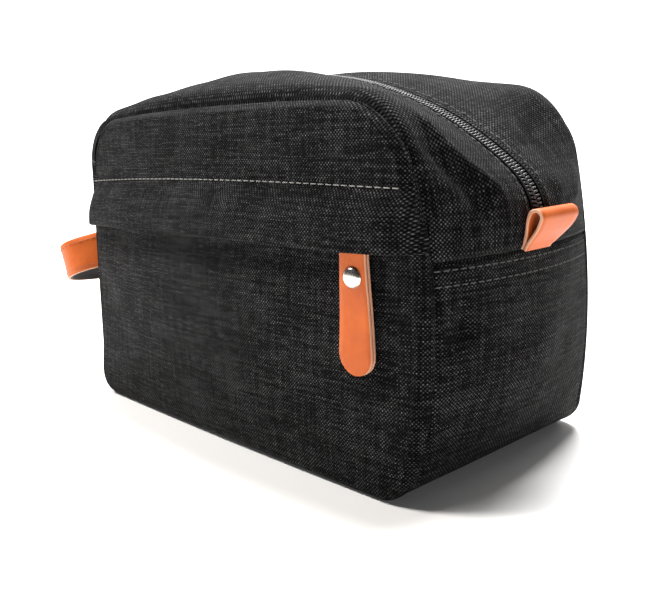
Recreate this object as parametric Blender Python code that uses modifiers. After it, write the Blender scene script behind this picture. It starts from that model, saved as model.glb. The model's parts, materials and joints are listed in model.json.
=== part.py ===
"""Soft rectangular wash bag: padded panels, gussets, zip pocket under a flap, curved top zip, side handle.

Metres, +Z up. +X runs along the length towards the end with the folded tab, -Y is the front with the
pocket, and Z = 0 is the surface that the flat bottom rests on.
"""

import math

import bmesh
import bpy
from mathutils import Matrix, Vector

MM = 0.001

# Panel outline, before it is warped
HALF_LENGTH = 109 * MM
HEIGHT = 147 * MM
DEPTH = 110 * MM
TOP_RADIUS = 22 * MM
BOTTOM_RADIUS = 9 * MM
ARCH = 3 * MM  # how much lower the top corners sit than the middle of the top edge
END_BOW = 11 * MM  # how far the side edges bow outwards at mid height
SIDE_SETBACK = 5 * MM  # how far the side edges are drawn in towards the bag's middle
TAPER = 0.05  # the bottom is wider than the top by this share
CROWN = 4 * MM
RIM_RISE = 3.5 * MM
RIM_WIDTH = 10 * MM

# Levels on the panels
SEAM_Z = 92 * MM  # seam across each end, between the upper and lower gusset
FLAP_EDGE_Z = 93 * MM
FLAP_STITCH_Z = 116 * MM
POCKET_ZIP_Z = 100 * MM
MOUTH_Z = 125 * MM  # above this the top folds open

# Thicknesses and gaps
GAP = 0.3 * MM
SHELL = 2.0 * MM
PANEL_SHELL = 1.6 * MM
GUSSET_EDGE = PANEL_SHELL + 2 * GAP  # the gussets stop this far inside the seam
LINING = 0.7 * MM
TAPE = 0.6 * MM
BINDING = 1.2 * MM
BINDING_WIDTH = 7 * MM
BINDING_INSET = 4.5 * MM  # clear of the linings behind the panels
LINING_REACH = 0.74  # how far across the depth the gusset linings go
FLAP_SHELL = 1.6 * MM
FLAP_LIFT = 5.0 * MM  # how far the fold stands off over the zip
FLAP_FADE = 0.13  # share of the half length over which it settles onto the panel at each end

# Curved zip line over the top: one arc, then a tighter bend down to each end seam
ZIP_RADIUS = 193 * MM
ZIP_CENTRE_Z = -33 * MM
ZIP_ARC_END = math.radians(38)
END_X = 127.8 * MM
END_Z = 90.2 * MM
SHOULDER_X = 131.8 * MM
SHOULDER_Z = 101 * MM
END_BULGE = 8.6 * MM
BULGE_RISE = 45 * MM

# Zips
MAIN_SLOT = 5.0 * MM  # half the gap between the two upper gussets
MAIN_COIL = 3.0 * MM
MAIN_TAPE = 14 * MM
COIL_HEIGHT = 2.1 * MM
POCKET_SLOT = 3.5 * MM
POCKET_COIL = 2.2 * MM
POCKET_TAPE = 8 * MM
CHAIN_GAP = 0.15 * MM
MAIN_SLIDER_ANGLE = math.radians(37.3)
POCKET_SLIDER_X = 94.7 * MM
POCKET_ZIP_END = 98 * MM

# Pulls
PULL_LENGTH = 47.3 * MM
NECK_WIDTH = 4.4 * MM
NECK_TOP = 1.5 * MM
PULL_TOP_WIDTH = 11.5 * MM
PULL_END_WIDTH = 16 * MM
PULL_THICKNESS = 2.8 * MM
MAIN_LINK = 7 * MM
POCKET_LINK = 5.6 * MM
LINK_WIDTH = 6.4 * MM
LINK_WIRE = 0.7 * MM
RIVET_RADIUS = 4.4 * MM
RIVET_DOWN = 11.1 * MM
RIVET_SHAFT = 1.5 * MM
MAIN_PULL_DIP = math.radians(5)
SLIDER_PLATE = 1.1 * MM
BAIL_BASE = 0.9 * MM
BAIL_HEIGHT = 3.7 * MM
BAIL_WIRE = 1.1 * MM

# Handle and tab
STRAP_WIDTH = 19 * MM
STRAP_LEATHER = 1.3 * MM
STRAP_BACKING = 1.0 * MM
STRAP_ROOT_X = -127 * MM
STRAP_Z = 75 * MM
STRAP_BOW = 25.3 * MM
STRAP_SPREAD = 59 * MM
STRAP_ROOT_Y = 50 * MM
STRAP_DROOP = math.radians(20)
TAB_WIDTH = 24 * MM
TAB_HEIGHT = 14.5 * MM
TAB_LEAN = 7 * MM
TAB_PLY = 1.4 * MM
TAB_Y = 2 * MM

SIDE_STEPS = 3  # pairs between the end seam and the level where the top folds open
FLAP_COLUMNS = [-0.985, -0.96, -0.93, -0.895, -0.85, -0.78, -0.66, -0.5, -0.33, -0.165]
FLAP_COLUMNS += [0.0] + [-share for share in FLAP_COLUMNS[::-1]]

# Joint axes
MOUTH_AXIS_Y = 61.5 * MM
MOUTH_AXIS_Z = 124 * MM
FLAP_AXIS_Y = 62 * MM
POCKET_BOW_Y = 757 * MM  # centre of the front panel's bow in plan

PARTS = "wash_bag"
CUTTERS = "wash_bag_cutters"


# ---------------------------------------------------------------- scene and materials


def clear_scene():
    for obj in list(bpy.data.objects):
        bpy.data.objects.remove(obj, do_unlink=True)


def new_collection(name):
    collection = bpy.data.collections.new(name)
    bpy.context.scene.collection.children.link(collection)
    return collection


def material(name, colour, roughness, metallic=0.0):
    made = bpy.data.materials.new(name)
    made.use_nodes = True
    shader = made.node_tree.nodes["Principled BSDF"]
    shader.inputs["Base Color"].default_value = (*colour, 1.0)
    shader.inputs["Roughness"].default_value = roughness
    shader.inputs["Metallic"].default_value = metallic
    return made


def add(name, mesh, finish, collection=None):
    obj = bpy.data.objects.new(name, mesh)
    (collection or bpy.data.collections[PARTS]).objects.link(obj)
    if finish:
        mesh.materials.append(finish)
    mesh.shade_smooth()
    mesh.set_sharp_from_angle(angle=math.radians(35))
    return obj


# ---------------------------------------------------------------- form of the bag


def half_width(z):
    """Half the length of the unwarped outline at height z."""
    above = z - (HEIGHT - TOP_RADIUS)
    if above > 0:
        return HALF_LENGTH - TOP_RADIUS + math.sqrt(max(TOP_RADIUS**2 - above**2, 0))
    below = BOTTOM_RADIUS - z
    if below > 0:
        return HALF_LENGTH - BOTTOM_RADIUS + math.sqrt(max(BOTTOM_RADIUS**2 - below**2, 0))
    return HALF_LENGTH


def belly(z):
    """0 at the bottom and top edges, 1 at mid height."""
    return 4 * z * (HEIGHT - z) / HEIGHT**2


def taper(z):
    return 1 + TAPER * (0.5 - z / HEIGHT)


def warp(x, z):
    """Where an unwarped outline point lands in the XZ plane."""
    share = x / HALF_LENGTH
    bowed = x + math.copysign(END_BOW * belly(z) * abs(share) ** 3, x)
    return Vector((bowed * taper(z), 0, z - ARCH * share**2 * z / HEIGHT))


def side_y(z):
    """Half depth between the two side edges at height z."""
    return (DEPTH / 2 - SIDE_SETBACK * belly(z)) * taper(z)


def seam_y(x, z):
    """Half depth at the seam that runs round the outline."""
    share = abs(x) / HALF_LENGTH
    return (DEPTH / 2 - SIDE_SETBACK * belly(z) * share**3) * taper(z)


def edge_distance(x, z):
    """How far inside the unwarped outline a point lies."""
    radius = TOP_RADIUS if z > HEIGHT / 2 else BOTTOM_RADIUS
    out_x = abs(x) - (HALF_LENGTH - radius)
    out_z = abs(z - HEIGHT / 2) - (HEIGHT / 2 - radius)
    outside = math.hypot(max(out_x, 0), max(out_z, 0)) + min(max(out_x, out_z), 0)
    return max(radius - outside, 0)


def panel_y(x, z):
    """Distance of the panel's outer face from the bag's middle plane."""
    share = x / max(half_width(z), 1e-6)
    middle = DEPTH / 2 * taper(z) + CROWN * math.sqrt(max(belly(z), 0))
    side = side_y(z)
    rim = 1 - (1 - min(edge_distance(x, z) / RIM_WIDTH, 1)) ** 2
    return side + (middle - side) * (1 - share**2) + RIM_RISE * rim


def panel_point(side, share, z, depth=0.0, inset=0.0):
    """A point on the front (side -1) or back (side 1) panel, depth inside its outer face."""
    x = share * (half_width(z) - inset)
    place = warp(x, z)
    place.y = side * (panel_y(x, z) - depth)
    return place


def arc_rows(start, end, radius, centre, steps, lower=False):
    """Heights spaced evenly round a corner of the outline."""
    found = []
    for i in range(steps + 1):
        turn = math.pi / 2 * i / steps
        rise = -math.cos(turn) if lower else math.sin(turn)
        height = centre + radius * rise
        if start - 1e-9 <= height <= end + 1e-9:
            found.append(height)
    return found


def panel_rows(start, end, count):
    """Heights for a panel's grid, closer together round the corners of the outline."""
    low = arc_rows(start, end, BOTTOM_RADIUS, BOTTOM_RADIUS, 3, lower=True)
    high = arc_rows(start, end, TOP_RADIUS, HEIGHT - TOP_RADIUS, 5)
    first = low[-1] if low else start
    last = high[0] if high else end
    middle = [first + (last - first) * i / count for i in range(count + 1)]
    return low[:-1] + middle + high[1:]


def outline_point(x, z):
    place = warp(x, z)
    place.y = seam_y(x, z)
    return place


def upper_outline(steps=6):
    """Half of the seam line, from the end seam up and over to the middle of the top."""
    side = [(HALF_LENGTH, SEAM_Z + (MOUTH_Z - SEAM_Z) * i / SIDE_STEPS) for i in range(SIDE_STEPS)]
    corner = []
    for i in range(steps + 1):
        turn = math.pi / 2 * i / steps
        x = HALF_LENGTH - TOP_RADIUS + TOP_RADIUS * math.cos(turn)
        corner.append((x, HEIGHT - TOP_RADIUS + TOP_RADIUS * math.sin(turn)))
    top = [((HALF_LENGTH - TOP_RADIUS) * (1 - i / 7), HEIGHT) for i in range(1, 8)]
    return [outline_point(x, z) for x, z in side + corner + top]


def lower_outline(steps=4):
    """Half of the seam line, from the end seam down and round to the middle of the bottom."""
    top = SEAM_Z - 2 * GAP
    side = [(HALF_LENGTH, top + (BOTTOM_RADIUS - top) * i / 7) for i in range(7)]
    corner = []
    for i in range(steps + 1):
        turn = math.pi / 2 * i / steps
        x = HALF_LENGTH - BOTTOM_RADIUS + BOTTOM_RADIUS * math.cos(turn)
        corner.append((x, BOTTOM_RADIUS - BOTTOM_RADIUS * math.sin(turn)))
    bottom = [((HALF_LENGTH - BOTTOM_RADIUS) * (1 - i / 4), 0) for i in range(1, 5)]
    return side + corner + bottom


def zip_line(count=24):
    """Half of the top's middle line, from the end seam up to the middle of the top."""
    end = Vector((ZIP_RADIUS * math.sin(ZIP_ARC_END), 0, ZIP_CENTRE_Z + ZIP_RADIUS * math.cos(ZIP_ARC_END)))
    along = Vector((math.cos(ZIP_ARC_END), 0, -math.sin(ZIP_ARC_END)))
    shoulder = Vector((SHOULDER_X, 0, SHOULDER_Z))
    foot = Vector((END_X, 0, END_Z))
    bend = []
    for i in range(9):
        t = i / 8
        pull = end + along * 12 * MM
        place = (1 - t) ** 3 * end + 3 * (1 - t) ** 2 * t * pull + 3 * (1 - t) * t**2 * shoulder + t**3 * foot
        bend.append(place)
    arc = []
    for i in range(1, count + 1):
        turn = ZIP_ARC_END * (1 - i / count)
        arc.append(Vector((ZIP_RADIUS * math.sin(turn), 0, ZIP_CENTRE_Z + ZIP_RADIUS * math.cos(turn))))
    return bend[::-1] + arc


def lengths(points):
    total = [0.0]
    for a, b in zip(points, points[1:]):
        total.append(total[-1] + (b - a).length)
    return total


def at_share(points, share):
    """The point this share of the way along a polyline."""
    run = lengths(points)
    want = share * run[-1]
    for i in range(1, len(run)):
        if want <= run[i] or i == len(run) - 1:
            step = (want - run[i - 1]) / (run[i] - run[i - 1])
            return points[i - 1].lerp(points[i], min(step, 1))


def outward(points, i):
    """The normal of a polyline in the XZ plane, away from the bag, where it runs up and over."""
    along = points[min(i + 1, len(points) - 1)] - points[max(i - 1, 0)]
    return Vector((along.z, 0, -along.x)).normalized() if along.length else Vector((0, 0, 1))


def offset_line(points, depth):
    """A half line moved inwards by depth. Its last point lies on the middle plane."""
    moved = []
    for i, point in enumerate(points):
        normal = outward(points, i)
        if i == len(points) - 1:
            normal = Vector((0, 0, math.copysign(1, normal.z)))
        moved.append(point - normal * depth)
    return moved


def mirrored_run(half):
    """A half line from +X joined to its mirror image at -X."""
    other = [Vector((-p.x, p.y, p.z)) for p in half[-2::-1]]
    return half + other


def upper_run(depth):
    """(seam point, middle point) pairs over the top, from the +X end seam to the -X one."""
    seam = upper_outline()
    run = lengths(seam)
    whole = zip_line()
    middle = [at_share(whole, length / run[-1]) for length in run]
    return list(zip(mirrored_run(offset_line(seam, depth)), mirrored_run(offset_line(middle, depth))))


def end_bulge(z):
    rise = min(z / BULGE_RISE, 1)
    return END_BULGE * rise * rise * (3 - 2 * rise)


def lower_run(depth):
    """(seam point, middle point) pairs under the bag, from the +X end seam to the -X one."""
    flat = lower_outline()
    seam = [outline_point(x, z) for x, z in flat]
    middle = [p + Vector((end_bulge(z), 0, 0)) for p, (x, z) in zip(seam, flat)]
    seam = inward_line(seam, depth)
    middle = inward_line(middle, depth)
    return list(zip(mirrored_run(seam), mirrored_run(middle)))


def inward_line(points, depth):
    """As offset_line, for a half line that runs down and under."""
    moved = []
    for i, point in enumerate(points):
        along = points[min(i + 1, len(points) - 1)] - points[max(i - 1, 0)]
        normal = Vector((-along.z, 0, along.x)).normalized()
        if i == len(points) - 1:
            normal = Vector((0, 0, -1))
        moved.append(point - normal * depth)
    return moved


def gusset_point(pair, across):
    """A point on a gusset: across is -1 at the front seam and 1 at the back one."""
    seam, middle = pair
    place = seam + (middle - seam) * (1 - across**2)
    place.y = across * (seam.y - GUSSET_EDGE)
    return place


# ---------------------------------------------------------------- makers


def sheet(name, finish, rows, columns, place, thickness):
    """A closed sheet: a grid whose points place(row, column) sets, thickened away from its normal."""
    mesh = bpy.data.meshes.new(name)
    bm = bmesh.new()
    bmesh.ops.create_grid(bm, x_segments=len(columns) - 1, y_segments=len(rows) - 1, size=1)
    bm.verts.ensure_lookup_table()
    order = sorted(bm.verts, key=lambda v: (round(v.co.y, 5), round(v.co.x, 5)))
    targets = [place(row, column) for row in rows for column in columns]
    for vert, target in zip(order, targets):
        vert.co = target
    bm.to_mesh(mesh)
    bm.free()
    obj = add(name, mesh, finish)
    shell = obj.modifiers.new("Shell", "SOLIDIFY")
    shell.thickness = thickness
    shell.offset = -1
    return obj


def spread(start, end, count):
    return [start + (end - start) * i / count for i in range(count + 1)]


def panel_sheet(name, finish, side, start, end, count, columns, depth, thickness, inset=0.0):
    """A strip of the front or back panel between two heights, thickened inwards."""
    rows = panel_rows(start, end, count)
    shares = spread(-1, 1, columns) if side < 0 else spread(1, -1, columns)

    def place(row, share):
        return panel_point(side, share, row, depth, inset)

    return sheet(name, finish, rows, shares, place, thickness)


def run_sheet(name, finish, run, across, thickness, under=False):
    """A strip along a run, thickened inwards. across(i) gives its places across the depth at pair i."""
    pairs = list(range(len(run)))
    if not under:
        pairs.reverse()
    shares = {i: across(run[i][0].y - GUSSET_EDGE) for i in pairs}

    def place(step, i):
        return gusset_point(run[i], shares[i][step])

    return sheet(name, finish, list(range(len(shares[0]))), pairs, place, thickness)


def gusset_sheet(name, finish, run, start, end, count, thickness, under=False):
    """A strip between two shares of the depth."""
    return run_sheet(name, finish, run, lambda reach: spread(start, end, count), thickness, under)


def ribbon_sheet(name, finish, run, near, far, thickness, under=False):
    """A strip between two distances from the middle plane."""
    return run_sheet(name, finish, run, lambda reach: [near / reach, far / reach], thickness, under)


def plate(name, finish, outline, thickness):
    """A flat plate with the given outline in X and Z, centred on Y = 0."""
    curve = bpy.data.curves.new(name, "CURVE")
    curve.dimensions = "2D"
    curve.fill_mode = "BOTH"
    curve.extrude = thickness / 2
    spline = curve.splines.new("POLY")
    spline.points.add(len(outline) - 1)
    for point, (x, z) in zip(spline.points, outline):
        point.co = (x, z, 0, 1)
    spline.use_cyclic_u = True
    helper = bpy.data.objects.new(name + "_curve", curve)
    bpy.data.collections[CUTTERS].objects.link(helper)
    graph = bpy.context.evaluated_depsgraph_get()
    mesh = bpy.data.meshes.new_from_object(helper.evaluated_get(graph))
    bpy.data.objects.remove(helper, do_unlink=True)
    bm = bmesh.new()
    bm.from_mesh(mesh)
    bmesh.ops.remove_doubles(bm, verts=bm.verts, dist=1e-6)
    bmesh.ops.recalc_face_normals(bm, faces=bm.faces)
    bm.transform(Matrix.Rotation(math.radians(90), 4, "X"))
    bm.to_mesh(mesh)
    bm.free()
    mesh.name = name
    return add(name, mesh, finish)


def box_mesh(name, size, centre):
    mesh = bpy.data.meshes.new(name)
    bm = bmesh.new()
    bmesh.ops.create_cube(bm, size=1)
    bm.transform(Matrix.Translation(centre) @ Matrix.Diagonal((*size, 1)))
    bm.to_mesh(mesh)
    bm.free()
    return mesh


def cylinder_mesh(name, radius, length, centre, axis, segments=20):
    mesh = bpy.data.meshes.new(name)
    bm = bmesh.new()
    bmesh.ops.create_cone(bm, cap_ends=True, segments=segments, radius1=radius, radius2=radius, depth=length)
    turn = {"X": Matrix.Rotation(math.radians(90), 4, "Y"), "Y": Matrix.Rotation(math.radians(90), 4, "X")}
    bm.transform(Matrix.Translation(centre) @ turn.get(axis, Matrix.Identity(4)))
    bm.to_mesh(mesh)
    bm.free()
    return mesh


def cutter(mesh):
    obj = add(mesh.name, mesh, None, bpy.data.collections[CUTTERS])
    obj.hide_render = True
    obj.display_type = "WIRE"
    return obj


def combine(obj, mesh, operation):
    """Cuts or joins a helper mesh, given in the object's own frame before the object is placed."""
    helper = cutter(mesh)
    helper.parent = obj
    change = obj.modifiers.new(operation.title(), "BOOLEAN")
    change.operation = operation
    change.object = helper
    return helper


def turned(name, finish, profile, steps=16):
    """A solid of revolution about Z from (radius, height) pairs that run top to bottom."""
    mesh = bpy.data.meshes.new(name)
    bm = bmesh.new()
    verts = [bm.verts.new((radius, 0, height)) for radius, height in profile]
    for a, b in zip(verts, verts[1:]):
        bm.edges.new((a, b))
    bm.to_mesh(mesh)
    bm.free()
    obj = add(name, mesh, finish)
    screw = obj.modifiers.new("Turn", "SCREW")
    screw.steps = steps
    screw.render_steps = steps
    screw.use_merge_vertices = True
    screw.merge_threshold = 1e-6
    return obj


# ---------------------------------------------------------------- fabric shells


def make_panels(fabric, lining):
    lower_top = POCKET_ZIP_Z - POCKET_SLOT
    upper_start = POCKET_ZIP_Z + POCKET_SLOT
    split = MOUTH_Z - GAP
    resume = MOUTH_Z + GAP
    pocket_top = POCKET_ZIP_Z - POCKET_TAPE - MM
    pocket_depth = PANEL_SHELL + 2.4 * MM
    depth = pocket_depth + 0.9 * MM + GAP
    top = HEIGHT - 10 * MM
    panel_sheet("front_panel_lower", fabric, -1, 0, lower_top, 5, 18, 0, PANEL_SHELL)
    panel_sheet("front_panel_middle", fabric, -1, upper_start, split, 2, 18, 0, PANEL_SHELL)
    panel_sheet("front_panel_upper", fabric, -1, resume, HEIGHT, 1, 18, 0, PANEL_SHELL)
    panel_sheet("back_panel_lower", fabric, 1, 0, split, 7, 18, 0, SHELL)
    panel_sheet("back_panel_upper", fabric, 1, resume, HEIGHT, 1, 18, 0, SHELL)
    panel_sheet("pocket_lining", lining, -1, 14 * MM, pocket_top, 4, 16, pocket_depth, 0.9 * MM, 12 * MM)
    panel_sheet("lining_front_lower", lining, -1, 14 * MM, split, 5, 14, depth, LINING, 14 * MM)
    panel_sheet("lining_front_upper", lining, -1, resume, top, 1, 14, depth, LINING, 14 * MM)
    panel_sheet("lining_back_lower", lining, 1, 14 * MM, split, 5, 14, SHELL + GAP, LINING, 14 * MM)
    panel_sheet("lining_back_upper", lining, 1, resume, top, 1, 14, SHELL + GAP, LINING, 14 * MM)
    make_flap(fabric)


def make_flap(fabric):
    """The folded lower part of the upper panel, standing off to leave room for the zip and its pull."""
    rows = spread(FLAP_EDGE_Z, FLAP_STITCH_Z, 4)

    def place(row, share):
        down = (FLAP_STITCH_Z - row) / (FLAP_STITCH_Z - FLAP_EDGE_Z)
        lift = FLAP_LIFT * math.sin(min(down * 1.35, 1) * math.pi / 2)
        lift *= math.sin(min((1 - abs(share)) / FLAP_FADE, 1) * math.pi / 2)
        return panel_point(-1, share, row, -(FLAP_SHELL + GAP + lift))

    sheet("pocket_flap", fabric, rows, FLAP_COLUMNS, place, FLAP_SHELL)


def short_of(pair, back):
    """A pair of places drawn back a little towards the pair before it."""
    return tuple(a + (b - a).normalized() * 2 * GAP for a, b in zip(pair, back))


def make_gussets(fabric, lining):
    outer = upper_run(0)
    inner = upper_run(SHELL + BINDING + 5 * GAP)
    slot = MAIN_SLOT / (DEPTH / 2)
    last = len(outer) - 1 - SIDE_STEPS
    runs = {"right": outer[: SIDE_STEPS + 1], "left": outer[last:]}
    runs["right"][-1] = short_of(outer[SIDE_STEPS], outer[SIDE_STEPS - 1])
    runs["left"][0] = short_of(outer[last], outer[last + 1])
    for word, start, end in (("front", -1, -slot), ("back", slot, 1)):
        gusset_sheet(f"upper_gusset_{word}", fabric, outer[SIDE_STEPS : last + 1], start, end, 4, SHELL)
        for hand, run in runs.items():
            gusset_sheet(f"end_gusset_{word}_{hand}", fabric, run, start, end, 4, SHELL)
    gusset_sheet("lower_gusset", fabric, lower_run(0), -1, 1, 6, SHELL, under=True)
    gusset_sheet("lining_gusset_front", lining, inner, -LINING_REACH, -2 * slot, 2, LINING)
    gusset_sheet("lining_gusset_back", lining, inner, 2 * slot, LINING_REACH, 2, LINING)
    floor = lower_run(SHELL + BINDING + 5 * GAP)
    gusset_sheet("lining_gusset_lower", lining, floor, -LINING_REACH, LINING_REACH, 4, LINING, under=True)


def make_bindings(finish):
    """Tape bound over the raw seam edges inside, in an upper and a lower piece on each side."""
    upper = upper_run(SHELL + 3 * GAP)
    lower = lower_run(SHELL + 3 * GAP)
    outer_edge = 1 - BINDING_INSET / (DEPTH / 2)
    inner_edge = outer_edge - BINDING_WIDTH / (DEPTH / 2)
    for part, run, under in (("upper", upper, False), ("lower", lower, True)):
        gusset_sheet(f"seam_binding_front_{part}", finish, run, -outer_edge, -inner_edge, 1, BINDING, under)
        gusset_sheet(f"seam_binding_back_{part}", finish, run, inner_edge, outer_edge, 1, BINDING, under)


# ---------------------------------------------------------------- zips


def make_main_chain(tape, coil):
    """Two tapes under the gusset edges, and the two halves of the coil between them."""
    under = upper_run(SHELL + GAP)
    level = upper_run(SHELL - COIL_HEIGHT)
    ribbon_sheet("main_zip_tape_front", tape, under, -MAIN_TAPE, -CHAIN_GAP * 2, TAPE)
    ribbon_sheet("main_zip_tape_back", tape, under, CHAIN_GAP * 2, MAIN_TAPE, TAPE)
    ribbon_sheet("main_zip_coil_front", coil, level, -MAIN_COIL, -CHAIN_GAP, COIL_HEIGHT)
    ribbon_sheet("main_zip_coil_back", coil, level, CHAIN_GAP, MAIN_COIL, COIL_HEIGHT)


def pocket_strip(name, finish, low, high, depth, thickness):
    rows = [low, high]
    reach = POCKET_ZIP_END / HALF_LENGTH

    def place(row, share):
        return panel_point(-1, share, row, depth)

    return sheet(name, finish, rows, spread(-reach, reach, 18), place, thickness)


def make_pocket_chain(tape, coil):
    middle = POCKET_ZIP_Z
    depth = PANEL_SHELL + 2 * GAP
    pocket_strip("pocket_zip_tape_lower", tape, middle - POCKET_TAPE, middle - CHAIN_GAP, depth, TAPE)
    pocket_strip("pocket_zip_tape_upper", tape, middle + CHAIN_GAP, middle + POCKET_TAPE, depth, TAPE)
    pocket_strip("pocket_zip_coil_lower", coil, middle - POCKET_COIL, middle - CHAIN_GAP, 0, PANEL_SHELL)
    pocket_strip("pocket_zip_coil_upper", coil, middle + CHAIN_GAP, middle + POCKET_COIL, 0, PANEL_SHELL)


def slider(name, finish, length, width, cheek=0.0, bail_across=False):
    """A slider in its own frame: X along the zip, Y across it, Z out of the fabric."""
    outline = [(-length / 2, -width * 0.32), (-length * 0.2, -width / 2), (length / 2, -width * 0.44)]
    outline += [(x, -y) for x, y in outline[::-1]]
    obj = plate(name, finish, outline, SLIDER_PLATE)
    obj.data.transform(Matrix.Rotation(math.radians(-90), 4, "X"))
    obj.data.transform(Matrix.Translation((0, 0, SLIDER_PLATE / 2)))
    combine(obj, bail_mesh(f"{name}_bail", width * 0.46 if bail_across else length * 0.42, bail_across), "UNION")
    for side in (-1, 1) if cheek else ():
        size = (length * 0.6, 0.9 * MM, cheek)
        centre = (length * 0.05, side * (width / 2 - 0.75 * MM), -cheek / 2 + 0.3 * MM)
        combine(obj, box_mesh(f"{name}_cheek_{'back' if side > 0 else 'front'}", size, centre), "UNION")
    return obj


def bail_mesh(name, reach, across):
    """A low arch with a slot under it, for the puller."""
    outer = []
    inner = []
    for i in range(9):
        turn = math.pi * i / 8
        outer.append((reach * math.cos(turn), BAIL_BASE + BAIL_HEIGHT * math.sin(turn)))
        hollow = (reach - BAIL_WIRE) * math.cos(turn)
        inner.append((hollow, BAIL_BASE + (BAIL_HEIGHT - BAIL_WIRE) * math.sin(turn)))
    arch = plate(name, None, outer + inner[::-1], 1.6 * MM)
    mesh = arch.data
    bpy.data.objects.remove(arch, do_unlink=True)
    if across:
        mesh.transform(Matrix.Rotation(math.radians(90), 4, "Z"))
    return mesh


def link(name, finish, length):
    """A closed wire loop that hangs from the origin in the XZ plane."""
    curve = bpy.data.curves.new(name, "CURVE")
    curve.dimensions = "3D"
    curve.bevel_depth = LINK_WIRE
    curve.bevel_resolution = 2
    spline = curve.splines.new("POLY")
    half = LINK_WIDTH / 2
    corners = [(half, 0), (half, -length), (-half, -length), (-half, 0)]
    points = []
    for i, (x, z) in enumerate(corners):
        inset = Vector((-math.copysign(1.2 * MM, x), 0, -1.2 * MM if z == 0 else 1.2 * MM))
        centre = Vector((x, 0, z)) + inset
        start = (90, 0, -90, -180)[i]
        for step in range(4):
            turn = math.radians(start - 30 * step)
            points.append(centre + Vector((math.cos(turn), 0, math.sin(turn))) * 1.2 * MM)
    spline.points.add(len(points) - 1)
    for point, place in zip(spline.points, points):
        point.co = (*place, 1)
    spline.use_cyclic_u = True
    obj = bpy.data.objects.new(name, curve)
    curve.materials.append(finish)
    bpy.data.collections[PARTS].objects.link(obj)
    return obj


def pull_outline(top, bottom):
    """A tongue with a narrow neck, which widens towards its round end."""
    radius = PULL_END_WIDTH / 2
    neck = NECK_WIDTH / 2
    shoulder = -top - NECK_TOP - LINK_WIRE - 2 * GAP
    points = [(-PULL_TOP_WIDTH / 2, shoulder), (-neck, shoulder), (-neck, -top)]
    points += [(-x, z) for x, z in points[::-1]]
    for i in range(11):
        turn = math.pi * i / 10
        points.append((radius * math.cos(turn), -bottom + radius - radius * math.sin(turn)))
    return points[::-1]


def make_pull(prefix, leather, metal, frame, link_length):
    """A leather tongue folded over a wire link and riveted, placed by frame."""
    top = link_length - NECK_TOP
    tongue = plate(f"{prefix}_pull_leather", leather, pull_outline(top, top + PULL_LENGTH), PULL_THICKNESS)
    bar = cylinder_mesh(f"{prefix}_bar_hole", LINK_WIRE + GAP, 30 * MM, (0, 0, -link_length), "X")
    ply_gap = (30 * MM, 2 * GAP, PULL_LENGTH)
    ply_slot = box_mesh(f"{prefix}_ply_slot", ply_gap, (0, 0, -link_length - PULL_LENGTH / 2))
    rivet_z = -(top + RIVET_DOWN)
    hole = cylinder_mesh(f"{prefix}_rivet_hole", RIVET_SHAFT + GAP, 10 * MM, (0, 0, rivet_z), "Y")
    for mesh in (bar, ply_slot, hole):
        combine(tongue, mesh, "DIFFERENCE")
    rivet = turned(f"{prefix}_pull_rivet", metal, rivet_profile())
    wire = link(f"{prefix}_zip_puller", metal, link_length)
    for obj in (tongue, wire):
        obj.matrix_world = frame
    facing = Matrix.Rotation(math.radians(90), 4, "X")
    rivet.matrix_world = frame @ Matrix.Translation((0, 0, rivet_z)) @ facing


def rivet_profile():
    """Cap, shank and back washer, from the cap's crown at +Z downwards."""
    face = PULL_THICKNESS / 2 + 0.15 * MM
    profile = []
    for i in range(5):
        turn = math.pi / 2 * i / 4
        profile.append((RIVET_RADIUS * math.sin(turn), face + 1.6 * MM * math.cos(turn)))
    profile += [(RIVET_SHAFT, face), (RIVET_SHAFT, -face)]
    profile += [(RIVET_RADIUS * 0.8, -face), (RIVET_RADIUS * 0.8, -face - 0.5 * MM), (0, -face - 0.5 * MM)]
    return profile


# ---------------------------------------------------------------- handle and tab


def strap_curve(count=28):
    """The handle's middle line in plan, before it droops, from the front seam to the back one."""
    points = []
    lean = math.asin(STRAP_ROOT_Y / STRAP_SPREAD)
    for i in range(count + 1):
        turn = -(math.pi - lean) + (2 * math.pi - 2 * lean) * i / count
        shape = 0.86
        x = -math.copysign(abs(math.cos(turn)) ** shape, math.cos(turn)) * STRAP_BOW
        y = math.copysign(abs(math.sin(turn)) ** shape, math.sin(turn)) * STRAP_SPREAD
        points.append(Vector((x, y, 0)))
    base = points[0].x
    return [p - Vector((base, 0, 0)) for p in points]


def make_handle(leather, backing):
    """A bowed strap: leather outside, backing inside, drooping about its root line."""
    line = strap_curve()
    place = Matrix.Translation((STRAP_ROOT_X, 0, STRAP_Z)) @ Matrix.Rotation(-STRAP_DROOP, 4, "Y")
    shift = STRAP_LEATHER + GAP
    for name, finish, inset, thickness in (
        ("handle_strap_leather", leather, 0.0, STRAP_LEATHER),
        ("handle_strap_backing", backing, shift, STRAP_BACKING),
    ):
        obj = strap_sheet(name, finish, line, inset, thickness)
        obj.matrix_world = place


def strap_sheet(name, finish, line, inset, thickness):
    moved = []
    for i, point in enumerate(line):
        along = line[min(i + 1, len(line) - 1)] - line[max(i - 1, 0)]
        normal = Vector((-along.y, along.x, 0)).normalized()
        moved.append(point - normal * inset)

    def place(height, i):
        return moved[i] + Vector((0, 0, height))

    order = list(range(len(line)))[::-1]
    return sheet(name, finish, [-STRAP_WIDTH / 2, STRAP_WIDTH / 2], order, place, thickness)


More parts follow.
